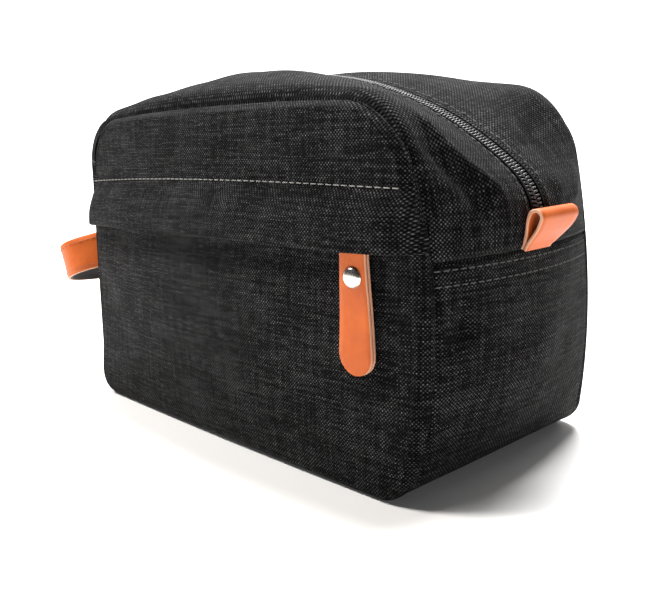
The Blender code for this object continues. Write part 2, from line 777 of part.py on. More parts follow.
def make_tab(leather):
    """A strip folded double, its ends in the end seam and its fold standing up and out."""
    half = []
    for i in range(9):
        turn = math.pi / 2 * (1 - i / 8)
        half.append(Vector((2.4 * MM * math.cos(turn), 0, TAB_HEIGHT - 3.2 * MM + 3.2 * MM * math.sin(turn))))
    stem = [Vector((1.7 * MM, 0, TAB_HEIGHT * 0.4)), Vector((0.75 * MM, 0, 0.4 * MM))]
    outer = half + stem
    loop = [Vector((-p.x, 0, p.z)) for p in outer[:0:-1]] + outer
    lean = math.atan2(TAB_LEAN, TAB_HEIGHT)
    turn = Matrix.Translation((END_X + 2.6 * MM, TAB_Y, END_Z + 1.2 * MM)) @ Matrix.Rotation(lean, 4, "Y")

    def place(y, i):
        return loop[i] + Vector((0, y, 0))

    order = list(range(len(loop)))
    obj = sheet("end_tab", leather, [TAB_WIDTH / 2, -TAB_WIDTH / 2], order, place, TAB_PLY)
    obj.modifiers["Shell"].offset = 1
    obj.matrix_world = turn


# ---------------------------------------------------------------- placing the moving pieces


def main_slider_frame(out):
    """Frame on the zip arc: X down the arc towards the -X end, Y across, Z out of the bag."""
    radius = ZIP_RADIUS + out
    angle = MAIN_SLIDER_ANGLE
    place = Vector((-radius * math.sin(angle), 0, ZIP_CENTRE_Z + radius * math.cos(angle)))
    down = Vector((-math.cos(angle), 0, -math.sin(angle)))
    normal = Vector((-math.sin(angle), 0, math.cos(angle)))
    across = normal.cross(down)
    turn = Matrix((down, across, normal)).transposed().to_4x4()
    return Matrix.Translation(place) @ turn


def make_main_slider(metal, leather):
    frame = main_slider_frame(0.5 * MM)
    body = slider("main_zip_slider", metal, 11 * MM, 8.4 * MM, cheek=2.0 * MM)
    body.matrix_world = frame
    hang = Matrix.Rotation(math.radians(-90) + MAIN_PULL_DIP, 4, "Y")
    pivot = frame @ Matrix.Translation((1.2 * MM, 0, 2.25 * MM)) @ hang @ Matrix.Rotation(math.radians(90), 4, "Z")
    make_pull("main", leather, metal, pivot, MAIN_LINK)


def make_pocket_slider(metal, leather):
    z = POCKET_ZIP_Z
    share = POCKET_SLIDER_X / (HALF_LENGTH + END_BOW * belly(z)) / taper(z)
    face = panel_point(-1, share, z)
    ahead = panel_point(-1, share + 0.02, z)
    slope = (ahead - face).normalized()
    out = Vector((slope.y, -slope.x, 0))
    if out.y > 0:
        out = -out
    across = out.cross(slope)
    turn = Matrix((slope, across, out)).transposed().to_4x4()
    body = slider("pocket_zip_slider", metal, 9 * MM, 6.6 * MM, bail_across=True)
    body.matrix_world = Matrix.Translation(face + out * 0.35 * MM) @ turn
    hang = Matrix((slope, -out, Vector((0, 0, 1)))).transposed().to_4x4()
    pivot = face + out * 3.0 * MM
    make_pull("pocket", leather, metal, Matrix.Translation(pivot) @ hang, POCKET_LINK)


def hang(name, place, nodes):
    """An empty on a joint's axis, with the pieces that turn about it as its children."""
    pivot = bpy.data.objects.new(name, None)
    bpy.data.collections[PARTS].objects.link(pivot)
    pivot.location = place
    for node in nodes:
        obj = bpy.data.objects[node]
        obj.parent = pivot
        obj.matrix_parent_inverse = Matrix.Translation(-place)


def make_pivots():
    """Empties on the axes of the pieces whose own origins lie elsewhere."""
    for side, word in ((-1, "front"), (1, "back")):
        made = [f"{word}_panel_upper", f"upper_gusset_{word}", f"lining_{word}_upper", f"lining_gusset_{word}"]
        made += [f"seam_binding_{word}_upper", f"main_zip_tape_{word}", f"main_zip_coil_{word}"]
        hang(f"mouth_{word}_axis", Vector((0, side * MOUTH_AXIS_Y, MOUTH_AXIS_Z)), made)
    hang("flap_axis", Vector((0, -FLAP_AXIS_Y, FLAP_STITCH_Z)), ["pocket_flap"])
    riding = ["main_zip_slider", "main_zip_puller", "main_pull_leather", "main_pull_rivet"]
    hang("zip_arc_centre", Vector((0, 0, ZIP_CENTRE_Z)), riding)
    riding = ["pocket_zip_slider", "pocket_zip_puller", "pocket_pull_leather", "pocket_pull_rivet"]
    hang("pocket_bow_centre", Vector((0, POCKET_BOW_Y, POCKET_ZIP_Z)), riding)


def main():
    clear_scene()
    new_collection(PARTS)
    new_collection(CUTTERS)
    fabric = material("charcoal_fabric", (0.045, 0.047, 0.05), 0.9)
    lining = material("lining_fabric", (0.02, 0.02, 0.022), 0.7)
    webbing = material("binding_tape", (0.012, 0.012, 0.013), 0.85)
    coil = material("zip_coil", (0.012, 0.012, 0.013), 0.4)
    leather = material("tan_leather", (0.52, 0.17, 0.06), 0.5)
    backing = material("black_backing", (0.02, 0.017, 0.016), 0.75)
    metal = material("nickel", (0.75, 0.72, 0.68), 0.18, 1.0)
    make_panels(fabric, lining)
    make_gussets(fabric, lining)
    make_bindings(webbing)
    make_main_chain(webbing, coil)
    make_pocket_chain(webbing, coil)
    make_main_slider(metal, leather)
    make_pocket_slider(metal, leather)
    make_handle(leather, backing)
    make_tab(leather)
    make_pivots()


main()
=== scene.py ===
"""Look of the shaving kit bag: woven shells, seams, stitches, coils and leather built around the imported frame."""

import json
import math

import bmesh
import bpy
import numpy as np
from mathutils import Matrix, Vector


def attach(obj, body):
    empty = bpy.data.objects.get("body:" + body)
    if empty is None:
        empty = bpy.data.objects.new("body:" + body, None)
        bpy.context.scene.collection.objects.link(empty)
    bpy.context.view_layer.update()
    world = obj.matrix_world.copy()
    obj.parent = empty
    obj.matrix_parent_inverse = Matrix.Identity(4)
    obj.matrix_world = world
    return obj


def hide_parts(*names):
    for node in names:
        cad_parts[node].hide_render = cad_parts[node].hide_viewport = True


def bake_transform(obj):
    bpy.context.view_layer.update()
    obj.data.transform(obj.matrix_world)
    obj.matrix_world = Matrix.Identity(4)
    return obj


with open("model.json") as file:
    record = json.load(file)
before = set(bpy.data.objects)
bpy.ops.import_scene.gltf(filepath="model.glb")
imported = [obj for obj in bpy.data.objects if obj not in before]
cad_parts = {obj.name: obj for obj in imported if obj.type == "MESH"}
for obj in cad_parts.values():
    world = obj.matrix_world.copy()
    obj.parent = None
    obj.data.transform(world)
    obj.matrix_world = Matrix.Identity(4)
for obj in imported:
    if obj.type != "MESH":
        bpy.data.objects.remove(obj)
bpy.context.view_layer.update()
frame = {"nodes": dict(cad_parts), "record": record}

MM = 0.001

# The bag's form, in millimetres, as the solids have it
HALF_LENGTH, HEIGHT, HALF_DEPTH = 109.0, 147.0, 55.0
TOP_RADIUS, BOTTOM_RADIUS = 22.0, 13.0
ARCH, END_BOW, SIDE_SETBACK, TAPER, CROWN = 3.0, 11.0, 5.0, 0.05, 4.0
RIM_RISE, RIM_WIDTH = 3.5, 7.0
SEAM_Z, MOUTH_Z = 92.0, 125.0
ZIP_RADIUS, ZIP_CENTRE_Z, ZIP_ARC_END = 193.0, -33.0, math.radians(38)
END_X, END_Z, SHOULDER_X, SHOULDER_Z = 127.8, 90.2, 131.8, 101.0
END_BULGE, BULGE_RISE = 8.6, 45.0
POCKET_ZIP_Z, POCKET_SLOT, POCKET_ZIP_END, POCKET_SLIDER_X = 100.0, 3.5, 98.0, 94.7
FLAP_TOP, FLAP_EDGE = 118.2, 93.8
SLOT = 5.0  # half the gap that the main zip shows in
GROOVE = 3.0  # how deep the gussets sink at the panel seams
FABRIC = 1.1  # thickness of the panel and gusset cloth
TUCK = 1.6  # how far a gusset's sewn edge turns under
END_STITCH_DEPTHS = 3.4, 8.6  # topstitching below the end seam


# ---------------------------------------------------------------- materials


class Nodes:
    """A short way to wire a material's nodes."""

    def __init__(self, name):
        self.material = bpy.data.materials.new(name)
        self.material.use_nodes = True
        self.tree = self.material.node_tree
        self.shader = self.tree.nodes["Principled BSDF"]

    def put(self, socket, value):
        if hasattr(value, "links"):
            self.tree.links.new(value, socket)
        else:
            socket.default_value = value

    def math(self, operation, *values):
        node = self.tree.nodes.new("ShaderNodeMath")
        node.operation = operation
        for socket, value in zip(node.inputs, values):
            self.put(socket, value)
        return node.outputs[0]

    def uv(self):
        uv = self.tree.nodes.new("ShaderNodeUVMap")
        uv.uv_map = "Weave"
        split = self.tree.nodes.new("ShaderNodeSeparateXYZ")
        self.tree.links.new(uv.outputs[0], split.inputs[0])
        return split.outputs[0], split.outputs[1]

    def position(self):
        return self.tree.nodes.new("ShaderNodeTexCoord").outputs["Object"]

    def vector(self, x, y, z=0.0):
        node = self.tree.nodes.new("ShaderNodeCombineXYZ")
        for socket, value in zip(node.inputs, (x, y, z)):
            self.put(socket, value)
        return node.outputs[0]

    def noise(self, vector, scale, detail=2.0, rough=0.5):
        node = self.tree.nodes.new("ShaderNodeTexNoise")
        self.put(node.inputs["Vector"], vector)
        node.inputs["Scale"].default_value = scale
        node.inputs["Detail"].default_value = detail
        node.inputs["Roughness"].default_value = rough
        return node.outputs["Fac"]

    def spread(self, value, low, high, to_low=0.0, to_high=1.0):
        node = self.tree.nodes.new("ShaderNodeMapRange")
        for socket, given in zip(node.inputs, (value, low, high, to_low, to_high)):
            self.put(socket, given)
        return node.outputs[0]

    def mix(self, share, first, second):
        node = self.tree.nodes.new("ShaderNodeMix")
        node.data_type = "RGBA"
        for socket, value in ((node.inputs[0], share), (node.inputs[6], first), (node.inputs[7], second)):
            self.put(socket, value)
        return node.outputs[2]

    def bump(self, height, strength, distance):
        node = self.tree.nodes.new("ShaderNodeBump")
        node.inputs["Strength"].default_value = strength
        node.inputs["Distance"].default_value = distance
        self.put(node.inputs["Height"], height)
        self.put(self.shader.inputs["Normal"], node.outputs[0])

    def set(self, **values):
        for name, value in values.items():
            self.put(self.shader.inputs[name.replace("_", " ")], value)
        return self.material


def grey(level, tint=(1.0, 1.0, 1.0)):
    return (level * tint[0], level * tint[1], level * tint[2], 1.0)


def woven(name, dark, light, yarn=0.78, contrast=1.0):
    """Heathered plain weave from coordinates in millimetres: yarns over and under, each with its own shade of grey;
    the raised crossings are painted lighter and the gaps between yarns painted near-black, as painted light and
    shade.
    """
    n = Nodes(name)
    u, v = n.uv()
    warp = n.math("SINE", n.math("MULTIPLY", u, math.pi / yarn))
    weft = n.math("SINE", n.math("MULTIPLY", v, math.pi / yarn))
    over = n.spread(n.math("MULTIPLY", warp, weft), -1.0, 1.0)
    upright = n.noise(n.vector(n.math("MULTIPLY", u, 0.62), n.math("MULTIPLY", v, 0.04)), 1.0, 3.0, 0.62)
    level = n.noise(n.vector(n.math("MULTIPLY", u, 0.035), n.math("MULTIPLY", v, 0.72), 7.0), 1.0, 3.0, 0.62)
    slub = n.noise(n.vector(n.math("MULTIPLY", u, 0.22), n.math("MULTIPLY", v, 1.3), 19.0), 1.0, 2.0, 0.6)
    patch = n.noise(n.vector(n.math("MULTIPLY", u, 0.05), n.math("MULTIPLY", v, 0.05), 31.0), 1.0, 2.0, 0.6)
    up = n.spread(upright, 0.42, 0.62)
    across = n.spread(level, 0.42, 0.61)
    yarns = n.math("ADD", n.math("MULTIPLY", up, 0.45), n.math("MULTIPLY", across, 0.55))
    fleck = n.spread(slub, 0.52, 0.66)
    shade = n.math("ADD", n.math("MULTIPLY", yarns, 0.65), n.math("MULTIPLY", fleck, 0.6))
    shade = n.math("ADD", shade, n.spread(patch, 0.3, 0.7, -0.14, 0.14))
    shade = n.math("MAXIMUM", n.math("ADD", n.math("MULTIPLY", shade, contrast), -0.10), 0.03)
    # Painted light and shade: the raised yarn crossings are painted light and the gaps between them near-black, times
    # the yarns' own heathered shade
    lit = n.math("MULTIPLY", n.math("ADD", n.math("POWER", over, 4.0), 0.012), shade)
    n.bump(n.math("ADD", over, n.math("MULTIPLY", shade, 0.5)), 0.8, 0.0004)
    n.shader.inputs["Sheen Weight"].default_value = 0.02
    n.shader.inputs["Sheen Roughness"].default_value = 0.45
    n.shader.inputs["Specular IOR Level"].default_value = 0.035
    return n.set(Base_Color=n.mix(lit, dark, light), Roughness=n.spread(over, 0.0, 1.0, 0.82, 0.62))


def tape_weave(name, level):
    """Narrow ribbed tape."""
    n = Nodes(name)
    u, v = n.uv()
    rib = n.spread(n.math("SINE", n.math("MULTIPLY", n.math("ADD", u, v), math.pi / 0.45)), -1.0, 1.0)
    worn = n.noise(n.vector(u, v), 0.6)
    n.bump(rib, 0.5, 0.0002)
    shade = n.math("ADD", n.math("MULTIPLY", rib, 0.6), n.math("MULTIPLY", worn, 0.4))
    return n.set(Base_Color=n.mix(shade, grey(level * 0.5), grey(level * 1.6)), Roughness=0.8)


def leather(name, dark, light, rough=0.46):
    """Smooth leather with fine pores and faint mottling."""
    n = Nodes(name)
    place = n.position()
    pores = n.tree.nodes.new("ShaderNodeTexVoronoi")
    n.put(pores.inputs["Vector"], place)
    pores.inputs["Scale"].default_value = 2100.0
    grain = n.math("ADD", pores.outputs["Distance"], n.math("MULTIPLY", n.noise(place, 900.0, 3.0), 0.7))
    mottle = n.spread(n.noise(place, 85.0, 4.0, 0.6), 0.3, 0.7)
    n.bump(grain, 0.16, 0.00025)
    n.shader.inputs["Specular IOR Level"].default_value = 0.2
    gloss = n.spread(mottle, 0.0, 1.0, rough - 0.06, rough + 0.08)
    return n.set(Base_Color=n.mix(mottle, dark, light), Roughness=gloss)


def plain(name, colour, rough, grain=600.0, strength=0.12, metal=0.0):
    """A moulded, dyed or plated surface with a faint broken-up gloss."""
    n = Nodes(name)
    place = n.position()
    n.bump(n.noise(place, grain, 3.0), strength, 0.0001)
    wear = n.spread(n.noise(place, grain * 0.12, 3.0), 0.3, 0.7)
    dim = tuple(c * 0.82 for c in colour[:3]) + (1.0,)
    n.shader.inputs["Metallic"].default_value = metal
    return n.set(Base_Color=n.mix(wear, dim, colour), Roughness=n.spread(wear, 0.0, 1.0, rough * 0.85, rough * 1.2))


CLOTH = woven("charcoal_weave", (0.0005, 0.0005, 0.0006, 1), (0.205, 0.205, 0.209, 1), 0.76)
LINING = woven("lining_weave", (0.002, 0.002, 0.0023, 1), (0.04, 0.04, 0.043, 1), 0.4, 0.5)
TAPE = tape_weave("zip_tape_weave", 0.008)
BINDING = tape_weave("binding_weave", 0.012)
TAN = leather("tan_leather_face", (0.41, 0.078, 0.012, 1), (0.53, 0.112, 0.019, 1))
CUT = plain("tan_leather_cut_edge", (0.62, 0.31, 0.19, 1), 0.8, 1500.0, 0.5)
BLACK = leather("black_leather_back", (0.010, 0.008, 0.008, 1), (0.022, 0.017, 0.016, 1), 0.6)
COIL = plain("coil_nylon", (0.009, 0.009, 0.010, 1), 0.46)
NICKEL = plain("nickel_plate", (0.66, 0.62, 0.56, 1), 0.2, 260.0, 0.04, 1.0)
PALE_THREAD = plain("pale_thread", (0.26, 0.255, 0.24, 1), 0.8, 3000.0, 0.6)
DARK_THREAD = plain("dark_thread", (0.075, 0.075, 0.074, 1), 0.8, 3000.0, 0.6)
TAN_THREAD = plain("tan_thread", (0.42, 0.12, 0.04, 1), 0.75, 3000.0, 0.6)


# ---------------------------------------------------------------- form


def smooth(t):
    t = np.clip(t, 0, 1)
    return t * t * (3 - 2 * t)


def half_width(z):
    above = np.clip(z - (HEIGHT - TOP_RADIUS), 0, TOP_RADIUS)
    below = np.clip(BOTTOM_RADIUS - z, 0, BOTTOM_RADIUS)
    top = TOP_RADIUS - np.sqrt(TOP_RADIUS**2 - above**2)
    return HALF_LENGTH - top - (BOTTOM_RADIUS - np.sqrt(BOTTOM_RADIUS**2 - below**2))


def belly(z):
    return np.clip(4 * z * (HEIGHT - z) / HEIGHT**2, 0, 1)


def taper(z):
    return 1 + TAPER * (0.5 - z / HEIGHT)


def warp(x, z):
    share = x / HALF_LENGTH
    settle = smooth((-x - 40) / 69) * (4.6 * smooth(z / 40) + 3.4 * smooth((z - 84) / 30))
    return (x + END_BOW * belly(z) * share**3) * taper(z) + settle, z - ARCH * share**2 * z / HEIGHT


def seam_y(x, z):
    return (HALF_DEPTH - SIDE_SETBACK * belly(z) * np.abs(x / HALF_LENGTH) ** 3) * taper(z)


def edge_distance(x, z):
    radius = np.where(z > HEIGHT / 2, TOP_RADIUS, BOTTOM_RADIUS)
    out_x = np.abs(x) - (HALF_LENGTH - radius)
    out_z = np.abs(z - HEIGHT / 2) - (HEIGHT / 2 - radius)
    outside = np.hypot(np.maximum(out_x, 0), np.maximum(out_z, 0)) + np.minimum(np.maximum(out_x, out_z), 0)
    return np.maximum(radius - outside, 0)


def roll(distance, width):
    """0 at an edge and 1 from width inwards, round like the edge of a cushion."""
    return np.sqrt(np.clip(1 - (1 - np.clip(distance / width, 0, 1)) ** 2, 0, 1))


def panel_y(x, z):
    share = x / np.maximum(half_width(z), 1e-6)
    middle = HALF_DEPTH * taper(z) + CROWN * np.sqrt(belly(z))
    side = (HALF_DEPTH - SIDE_SETBACK * belly(z)) * taper(z)
    edge = edge_distance(x, z)
    rim = RIM_RISE * roll(edge, RIM_WIDTH) + 0.7 * np.exp(-(((edge - 2.6) / 1.3) ** 2))
    return side + (middle - side) * (1 - share**2) + rim


def lengths(path):
    """The distance along a polyline at each of its points."""
    return np.concatenate([[0], np.cumsum(np.linalg.norm(np.diff(path, axis=0), axis=1))])


def at_lengths(values, run, want):
    """Values given at the distances in run, read off at the wanted distances."""
    return np.stack([np.interp(want, run, values[:, k]) for k in range(3)], axis=1)


def dense(points, count):
    """Points evenly spaced along a polyline."""
    points = np.asarray(points, float)
    run = lengths(points)
    return at_lengths(points, run, np.linspace(0, run[-1], count))


def seam_line(flat):
    x, z = np.array(flat, float).T
    there = warp(x, z)
    return np.stack([there[0], seam_y(x, z), there[1]], axis=1)


def upper_seam():
    """Half of the seam round the upper part, from the end seam to the middle of the top."""
    turns = np.linspace(0, math.pi / 2, 60)
    flat = [(HALF_LENGTH, z) for z in np.linspace(SEAM_Z - 3, MOUTH_Z, 60)[:-1]]
    flat += [(HALF_LENGTH - TOP_RADIUS * (1 - math.cos(t)), MOUTH_Z + TOP_RADIUS * math.sin(t)) for t in turns]
    flat += [(x, HEIGHT) for x in np.linspace(HALF_LENGTH - TOP_RADIUS, 0, 120)[1:]]
    return seam_line(flat)


def zip_line():
    end = np.array([ZIP_RADIUS * math.sin(ZIP_ARC_END), 0, ZIP_CENTRE_Z + ZIP_RADIUS * math.cos(ZIP_ARC_END)])
    pull = end + np.array([math.cos(ZIP_ARC_END), 0, -math.sin(ZIP_ARC_END)]) * 12
    t = np.linspace(0, 1, 60)[:, None]
    shoulder, foot = np.array([SHOULDER_X, 0, SHOULDER_Z]), np.array([END_X, 0, END_Z])
    bend = (1 - t) ** 3 * end + 3 * (1 - t) ** 2 * t * pull + 3 * (1 - t) * t**2 * shoulder + t**3 * foot
    under = foot + (foot - bend[-2]) / np.linalg.norm(foot - bend[-2]) * 3
    turns = np.linspace(ZIP_ARC_END, 0, 160)[1:]
    arc = np.stack([ZIP_RADIUS * np.sin(turns), turns * 0, ZIP_CENTRE_Z + ZIP_RADIUS * np.cos(turns)], axis=1)
    return np.concatenate([[under], bend[::-1], arc])


def lower_seam():
    """Half of the seam round the lower part, from the end seam down to the middle of the bottom."""
    turns = np.linspace(0, math.pi / 2, 40)
    flat = [(HALF_LENGTH, z) for z in np.linspace(SEAM_Z - 0.4, BOTTOM_RADIUS, 120)[:-1]]
    reach = HALF_LENGTH - BOTTOM_RADIUS
    flat += [(reach + BOTTOM_RADIUS * math.cos(t), BOTTOM_RADIUS * (1 - math.sin(t))) for t in turns]
    flat += [(x, 0) for x in np.linspace(reach, 0, 90)[1:]]
    return flat


def mirrored(half):
    return np.concatenate([half, half[-2::-1] * np.array([-1, 1, 1])])


def upper_lines(count=110):
    return mirrored(dense(upper_seam(), count)), mirrored(dense(zip_line(), count))


def lower_lines(count=110):
    flat = lower_seam()
    seam = seam_line(flat)
    rise = np.clip(np.array(flat)[:, 1] / BULGE_RISE, 0, 1)
    middle = seam + np.stack([END_BULGE * rise**2 * (3 - 2 * rise), rise * 0, rise * 0], axis=1)
    run = lengths(seam)
    want = np.linspace(0, 1, count) * run[-1]
    return mirrored(at_lengths(seam, run, want)), mirrored(at_lengths(middle, run, want))


def ripple(u, v, seed, size=30.0):
    """Gentle unevenness between -1 and 1, from a few fixed waves."""
    rng = np.random.default_rng(seed)
    total = np.zeros(np.broadcast(u, v).shape)
    for _ in range(7):
        turn, phase = rng.uniform(0, math.tau, 2)
        length = size * rng.uniform(0.6, 1.7)
        total = total + np.sin((u * math.cos(turn) + v * math.sin(turn)) * math.tau / length + phase)
    return total / 4.2


def crease(u, v, a, b, width, depth):
    """A ridge (depth above 0) or fold (below 0) along the line from a to b, fading at its ends."""
    a, b = np.array(a, float), np.array(b, float)
    along = b - a
    length = np.hypot(*along)
    t = ((u - a[0]) * along[0] + (v - a[1]) * along[1]) / length**2
    off = ((u - a[0]) * along[1] - (v - a[1]) * along[0]) / length
    fade = np.exp(-((np.clip(np.abs(t - 0.5) - 0.3, 0, None) / 0.16) ** 2))
    return depth * np.exp(-((off / width) ** 2)) * fade


# ---------------------------------------------------------------- makers


def grid_normals(points):
    rows, columns = np.gradient(points, axis=0), np.gradient(points, axis=1)
    normal = np.cross(columns, rows)
    size = np.linalg.norm(normal, axis=2, keepdims=True)
    return normal / np.maximum(size, 1e-9)


def faces_inwards(points):
    """Whether a grid's own normals point into the bag."""
    return ((points - np.array([0, 0, 70.0])) * grid_normals(points)).sum() < 0


def mesh_object(name, points, faces, finishes, uv=None, indices=None, sharp=50.0):
    mesh = bpy.data.meshes.new(name)
    mesh.from_pydata((np.asarray(points) * MM).tolist(), [], faces)
    for finish in finishes:
        mesh.materials.append(finish)
    if indices is not None:
        mesh.polygons.foreach_set("material_index", np.asarray(indices, np.int32))
    layer = mesh.uv_layers.new(name="Weave")
    if uv is not None:
        corner = np.empty(len(mesh.loops), np.int32)
        mesh.loops.foreach_get("vertex_index", corner)
        layer.data.foreach_set("uv", np.asarray(uv, float)[corner].ravel())
    mesh.shade_smooth()
    mesh.set_sharp_from_angle(angle=math.radians(sharp))
    mesh.update()
    obj = bpy.data.objects.new(name, mesh)
    bpy.context.scene.collection.objects.link(obj)
    return obj


def shell(name, points, uv, finish, thickness, flip=False, normals=None):
    """A closed sheet from a grid of outer points, thickened inwards."""
    rows, columns = points.shape[:2]
    normal = grid_normals(points) if normals is None else normals
    if flip:
        normal = -normal
    inner = points - normal * thickness
    both = np.concatenate([points.reshape(-1, 3), inner.reshape(-1, 3)])
    index = np.arange(rows * columns).reshape(rows, columns)
    a, b, c, d = index[:-1, :-1], index[:-1, 1:], index[1:, 1:], index[1:, :-1]
    outer = np.stack([a, b, c, d], axis=-1).reshape(-1, 4)
    if flip:
        outer = outer[:, ::-1]
    under = outer[:, ::-1] + rows * columns
    border = np.concatenate([index[0, :], index[1:, -1], index[-1, -2::-1], index[-2:0:-1, 0]])
    after = np.roll(border, -1)
    wall = np.stack([after, border, border + rows * columns, after + rows * columns], axis=1)
    if flip:
        wall = wall[:, ::-1]
    faces = np.concatenate([outer, under, wall]).tolist()
    twice = np.concatenate([uv.reshape(-1, 2)] * 2)
    return mesh_object(name, both, faces, [finish], twice)


def ribbon(name, path, normal, side, left, right, thickness, finishes, columns=5, bevel=0.3):
    """A strip of leather: path is the middle of its outer face, and its cut sides take the second finish."""
    count = len(path)
    left, right = np.broadcast_to(left, count), np.broadcast_to(right, count)
    steps = np.linspace(0, 1, columns)
    rings = []
    for i in range(count):
        low, high = -left[i], right[i]
        inset = min(bevel, (high - low) * 0.3)
        across = (low + inset) + (high - low - 2 * inset) * steps
        profile = [(s, 0.0) for s in across] + [(high, bevel), (high, thickness - bevel)]
        profile += [(s, thickness) for s in across[::-1]] + [(low, thickness - bevel), (low, bevel)]
        rings.append([path[i] + side[i] * s - normal[i] * d for s, d in profile])
    rings = np.array(rings)
    size = rings.shape[1]
    points = rings.reshape(-1, 3)
    run = lengths(path)
    faces, indices = [], []
    cut = {columns - 1, columns, columns + 1, 2 * columns + 1, 2 * columns + 2, 2 * columns + 3}
    for i in range(count - 1):
        for k in range(size):
            j = (k + 1) % size
            faces.append([i * size + k, i * size + j, (i + 1) * size + j, (i + 1) * size + k])
            indices.append(1 if k in cut else 0)
    faces += [list(range(size))[::-1], [(count - 1) * size + k for k in range(size)]]
    indices += [1, 1]
    spread = np.tile(np.linspace(0, 40, size), count)
    uv = np.stack([spread, np.repeat(run, size)], axis=1)
    obj = mesh_object(name, points, faces, finishes, uv, indices, 60.0)
    return tidy_normals(obj)


def tidy_normals(obj):
    """Turns a closed mesh's faces outwards."""
    bm = bmesh.new()
    bm.from_mesh(obj.data)
    bmesh.ops.recalc_face_normals(bm, faces=bm.faces)
    bm.to_mesh(obj.data)
    bm.free()
    return obj


def tube_faces(rings, size, closed=False, start=0):
    faces = []
    for i in range(rings - 1):
        for k in range(size):
            j = (k + 1) % size
            here, there = start + i * size, start + (i + 1) * size
            faces.append([here + k, here + j, there + j, there + k])
    if not closed:
        faces.append([start + k for k in range(size)][::-1])
        faces.append([start + (rings - 1) * size + k for k in range(size)])
    return faces


def path_frames(path, normal):
    """Unit (along, side, out) at each point of a path that lies on a surface with that normal."""
    along = np.gradient(path, axis=0)
    along /= np.maximum(np.linalg.norm(along, axis=1, keepdims=True), 1e-9)
    side = np.cross(normal, along)
    side /= np.maximum(np.linalg.norm(side, axis=1, keepdims=True), 1e-9)
    return along, side, np.cross(along, side)


def evenly(path, normal, step):
    run = lengths(path)
    want = np.arange(step / 2, run[-1] - step / 4, step)
    return at_lengths(path, run, want), at_lengths(normal, run, want)


def stitches(name, path, normal, finish, length=2.7, gap=0.8, radius=0.26):
    """A row of thread stitches lying on a surface, each dipping in at its ends."""
    middle, out = evenly(path, normal, length + gap)
    along, side, out = path_frames(middle, out)
    profile = [(-0.5, 0.25, -0.8), (-0.42, 0.8, -0.1), (-0.2, 1.0, 0.45)]
    profile += [(-place, size, lift) for place, size, lift in profile[::-1]]
    turns = np.linspace(0, math.tau, 7)[:-1]
    points, faces = [], []
    for i in range(len(middle)):
        start = len(points)
        for place, size, lift in profile:
            centre = middle[i] + along[i] * place * length + out[i] * lift * radius
            for turn in turns:
                points.append(centre + (side[i] * math.cos(turn) + out[i] * math.sin(turn)) * size * radius)
        faces += tube_faces(len(profile), len(turns), start=start)
    return tidy_normals(mesh_object(name, points, faces, [finish]))


def coil_half(name, path, normal, hand, pitch, reach, rise, wire, finish, steps=10):
    """One half of a coil zip: a flattened spiral whose turns reach just past the middle line."""
    run = lengths(path)
    count = int(run[-1] / pitch) * steps
    turn = np.arange(count) / steps * math.tau + (0 if hand > 0 else math.pi)
    want = np.arange(count) / steps * pitch + 0.5
    middle, out = at_lengths(path, run, want), at_lengths(normal, run, want)
    _, side, out = path_frames(middle, out)
    offset = hand * (reach - wire) * (0.86 - np.cos(turn))
    height = rise * np.sin(turn)
    centre = middle + side * offset[:, None] + out * height[:, None]
    tangent = np.gradient(centre, axis=0)
    tangent /= np.linalg.norm(tangent, axis=1, keepdims=True)
    first = np.cross(tangent, out)
    first /= np.maximum(np.linalg.norm(first, axis=1, keepdims=True), 1e-9)
    second = np.cross(tangent, first)
    turns = np.linspace(0, math.tau, 6)[:-1]
    rings = [centre + (first * math.cos(t) + second * math.sin(t)) * wire for t in turns]
    points = np.stack(rings, axis=1).reshape(-1, 3)
    return tidy_normals(mesh_object(name, points, tube_faces(count, len(turns)), [finish], sharp=80.0))


def lathe(name, profile, finish, matrix, steps=48):
    turns = np.linspace(0, math.tau, steps + 1)[:-1]
    points = []
    for radius, height in profile:
        for turn in turns:
            points.append(matrix @ Vector((radius * math.cos(turn), radius * math.sin(turn), height)))
    points = np.array([tuple(p) for p in points])
    return tidy_normals(mesh_object(name, points, tube_faces(len(profile), steps), [finish], sharp=40.0))


def on_mouth(obj):
    """Bakes a piece's placement into its mesh."""
    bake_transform(obj)


# ---------------------------------------------------------------- panels and flap


def uneven(count, power=1.7):
    t = np.linspace(-1, 1, count)
    return np.sign(t) * (1 - (1 - np.abs(t)) ** power)


def panel_levels(start, end, step=1.9):
    """Heights for a panel's rows, close together round the corners."""
    top = MOUTH_Z + TOP_RADIUS * np.sin(np.linspace(0, math.pi / 2, 26))
    low = BOTTOM_RADIUS * (1 - np.cos(np.linspace(0, math.pi / 2, 12)))
    middle = np.arange(BOTTOM_RADIUS, MOUTH_Z, step)
    every = np.unique(np.round(np.concatenate([low, middle, top]), 4))
    every = every[(every > start + 0.3) & (every < end - 0.02)]
    return np.concatenate([[start], every, [end]])


def cloth_lengths(points):
    """Coordinates along the cloth from the middle column and the first row, as woven before it was bent."""
    middle = points.shape[1] // 2
    across = np.linalg.norm(np.diff(points, axis=1), axis=2)
    across = np.pad(np.cumsum(across, axis=1), ((0, 0), (1, 0)))
    across = across - across[:, middle : middle + 1] + points[:, middle : middle + 1, 0]
    up = np.linalg.norm(np.diff(points[:, middle], axis=0), axis=1)
    up = np.concatenate([[0], np.cumsum(up)]) + points[0, middle, 2]
    sideways = points[..., 2] - points[:, middle : middle + 1, 2]
    return np.stack([across, up[:, None] + sideways], axis=2)


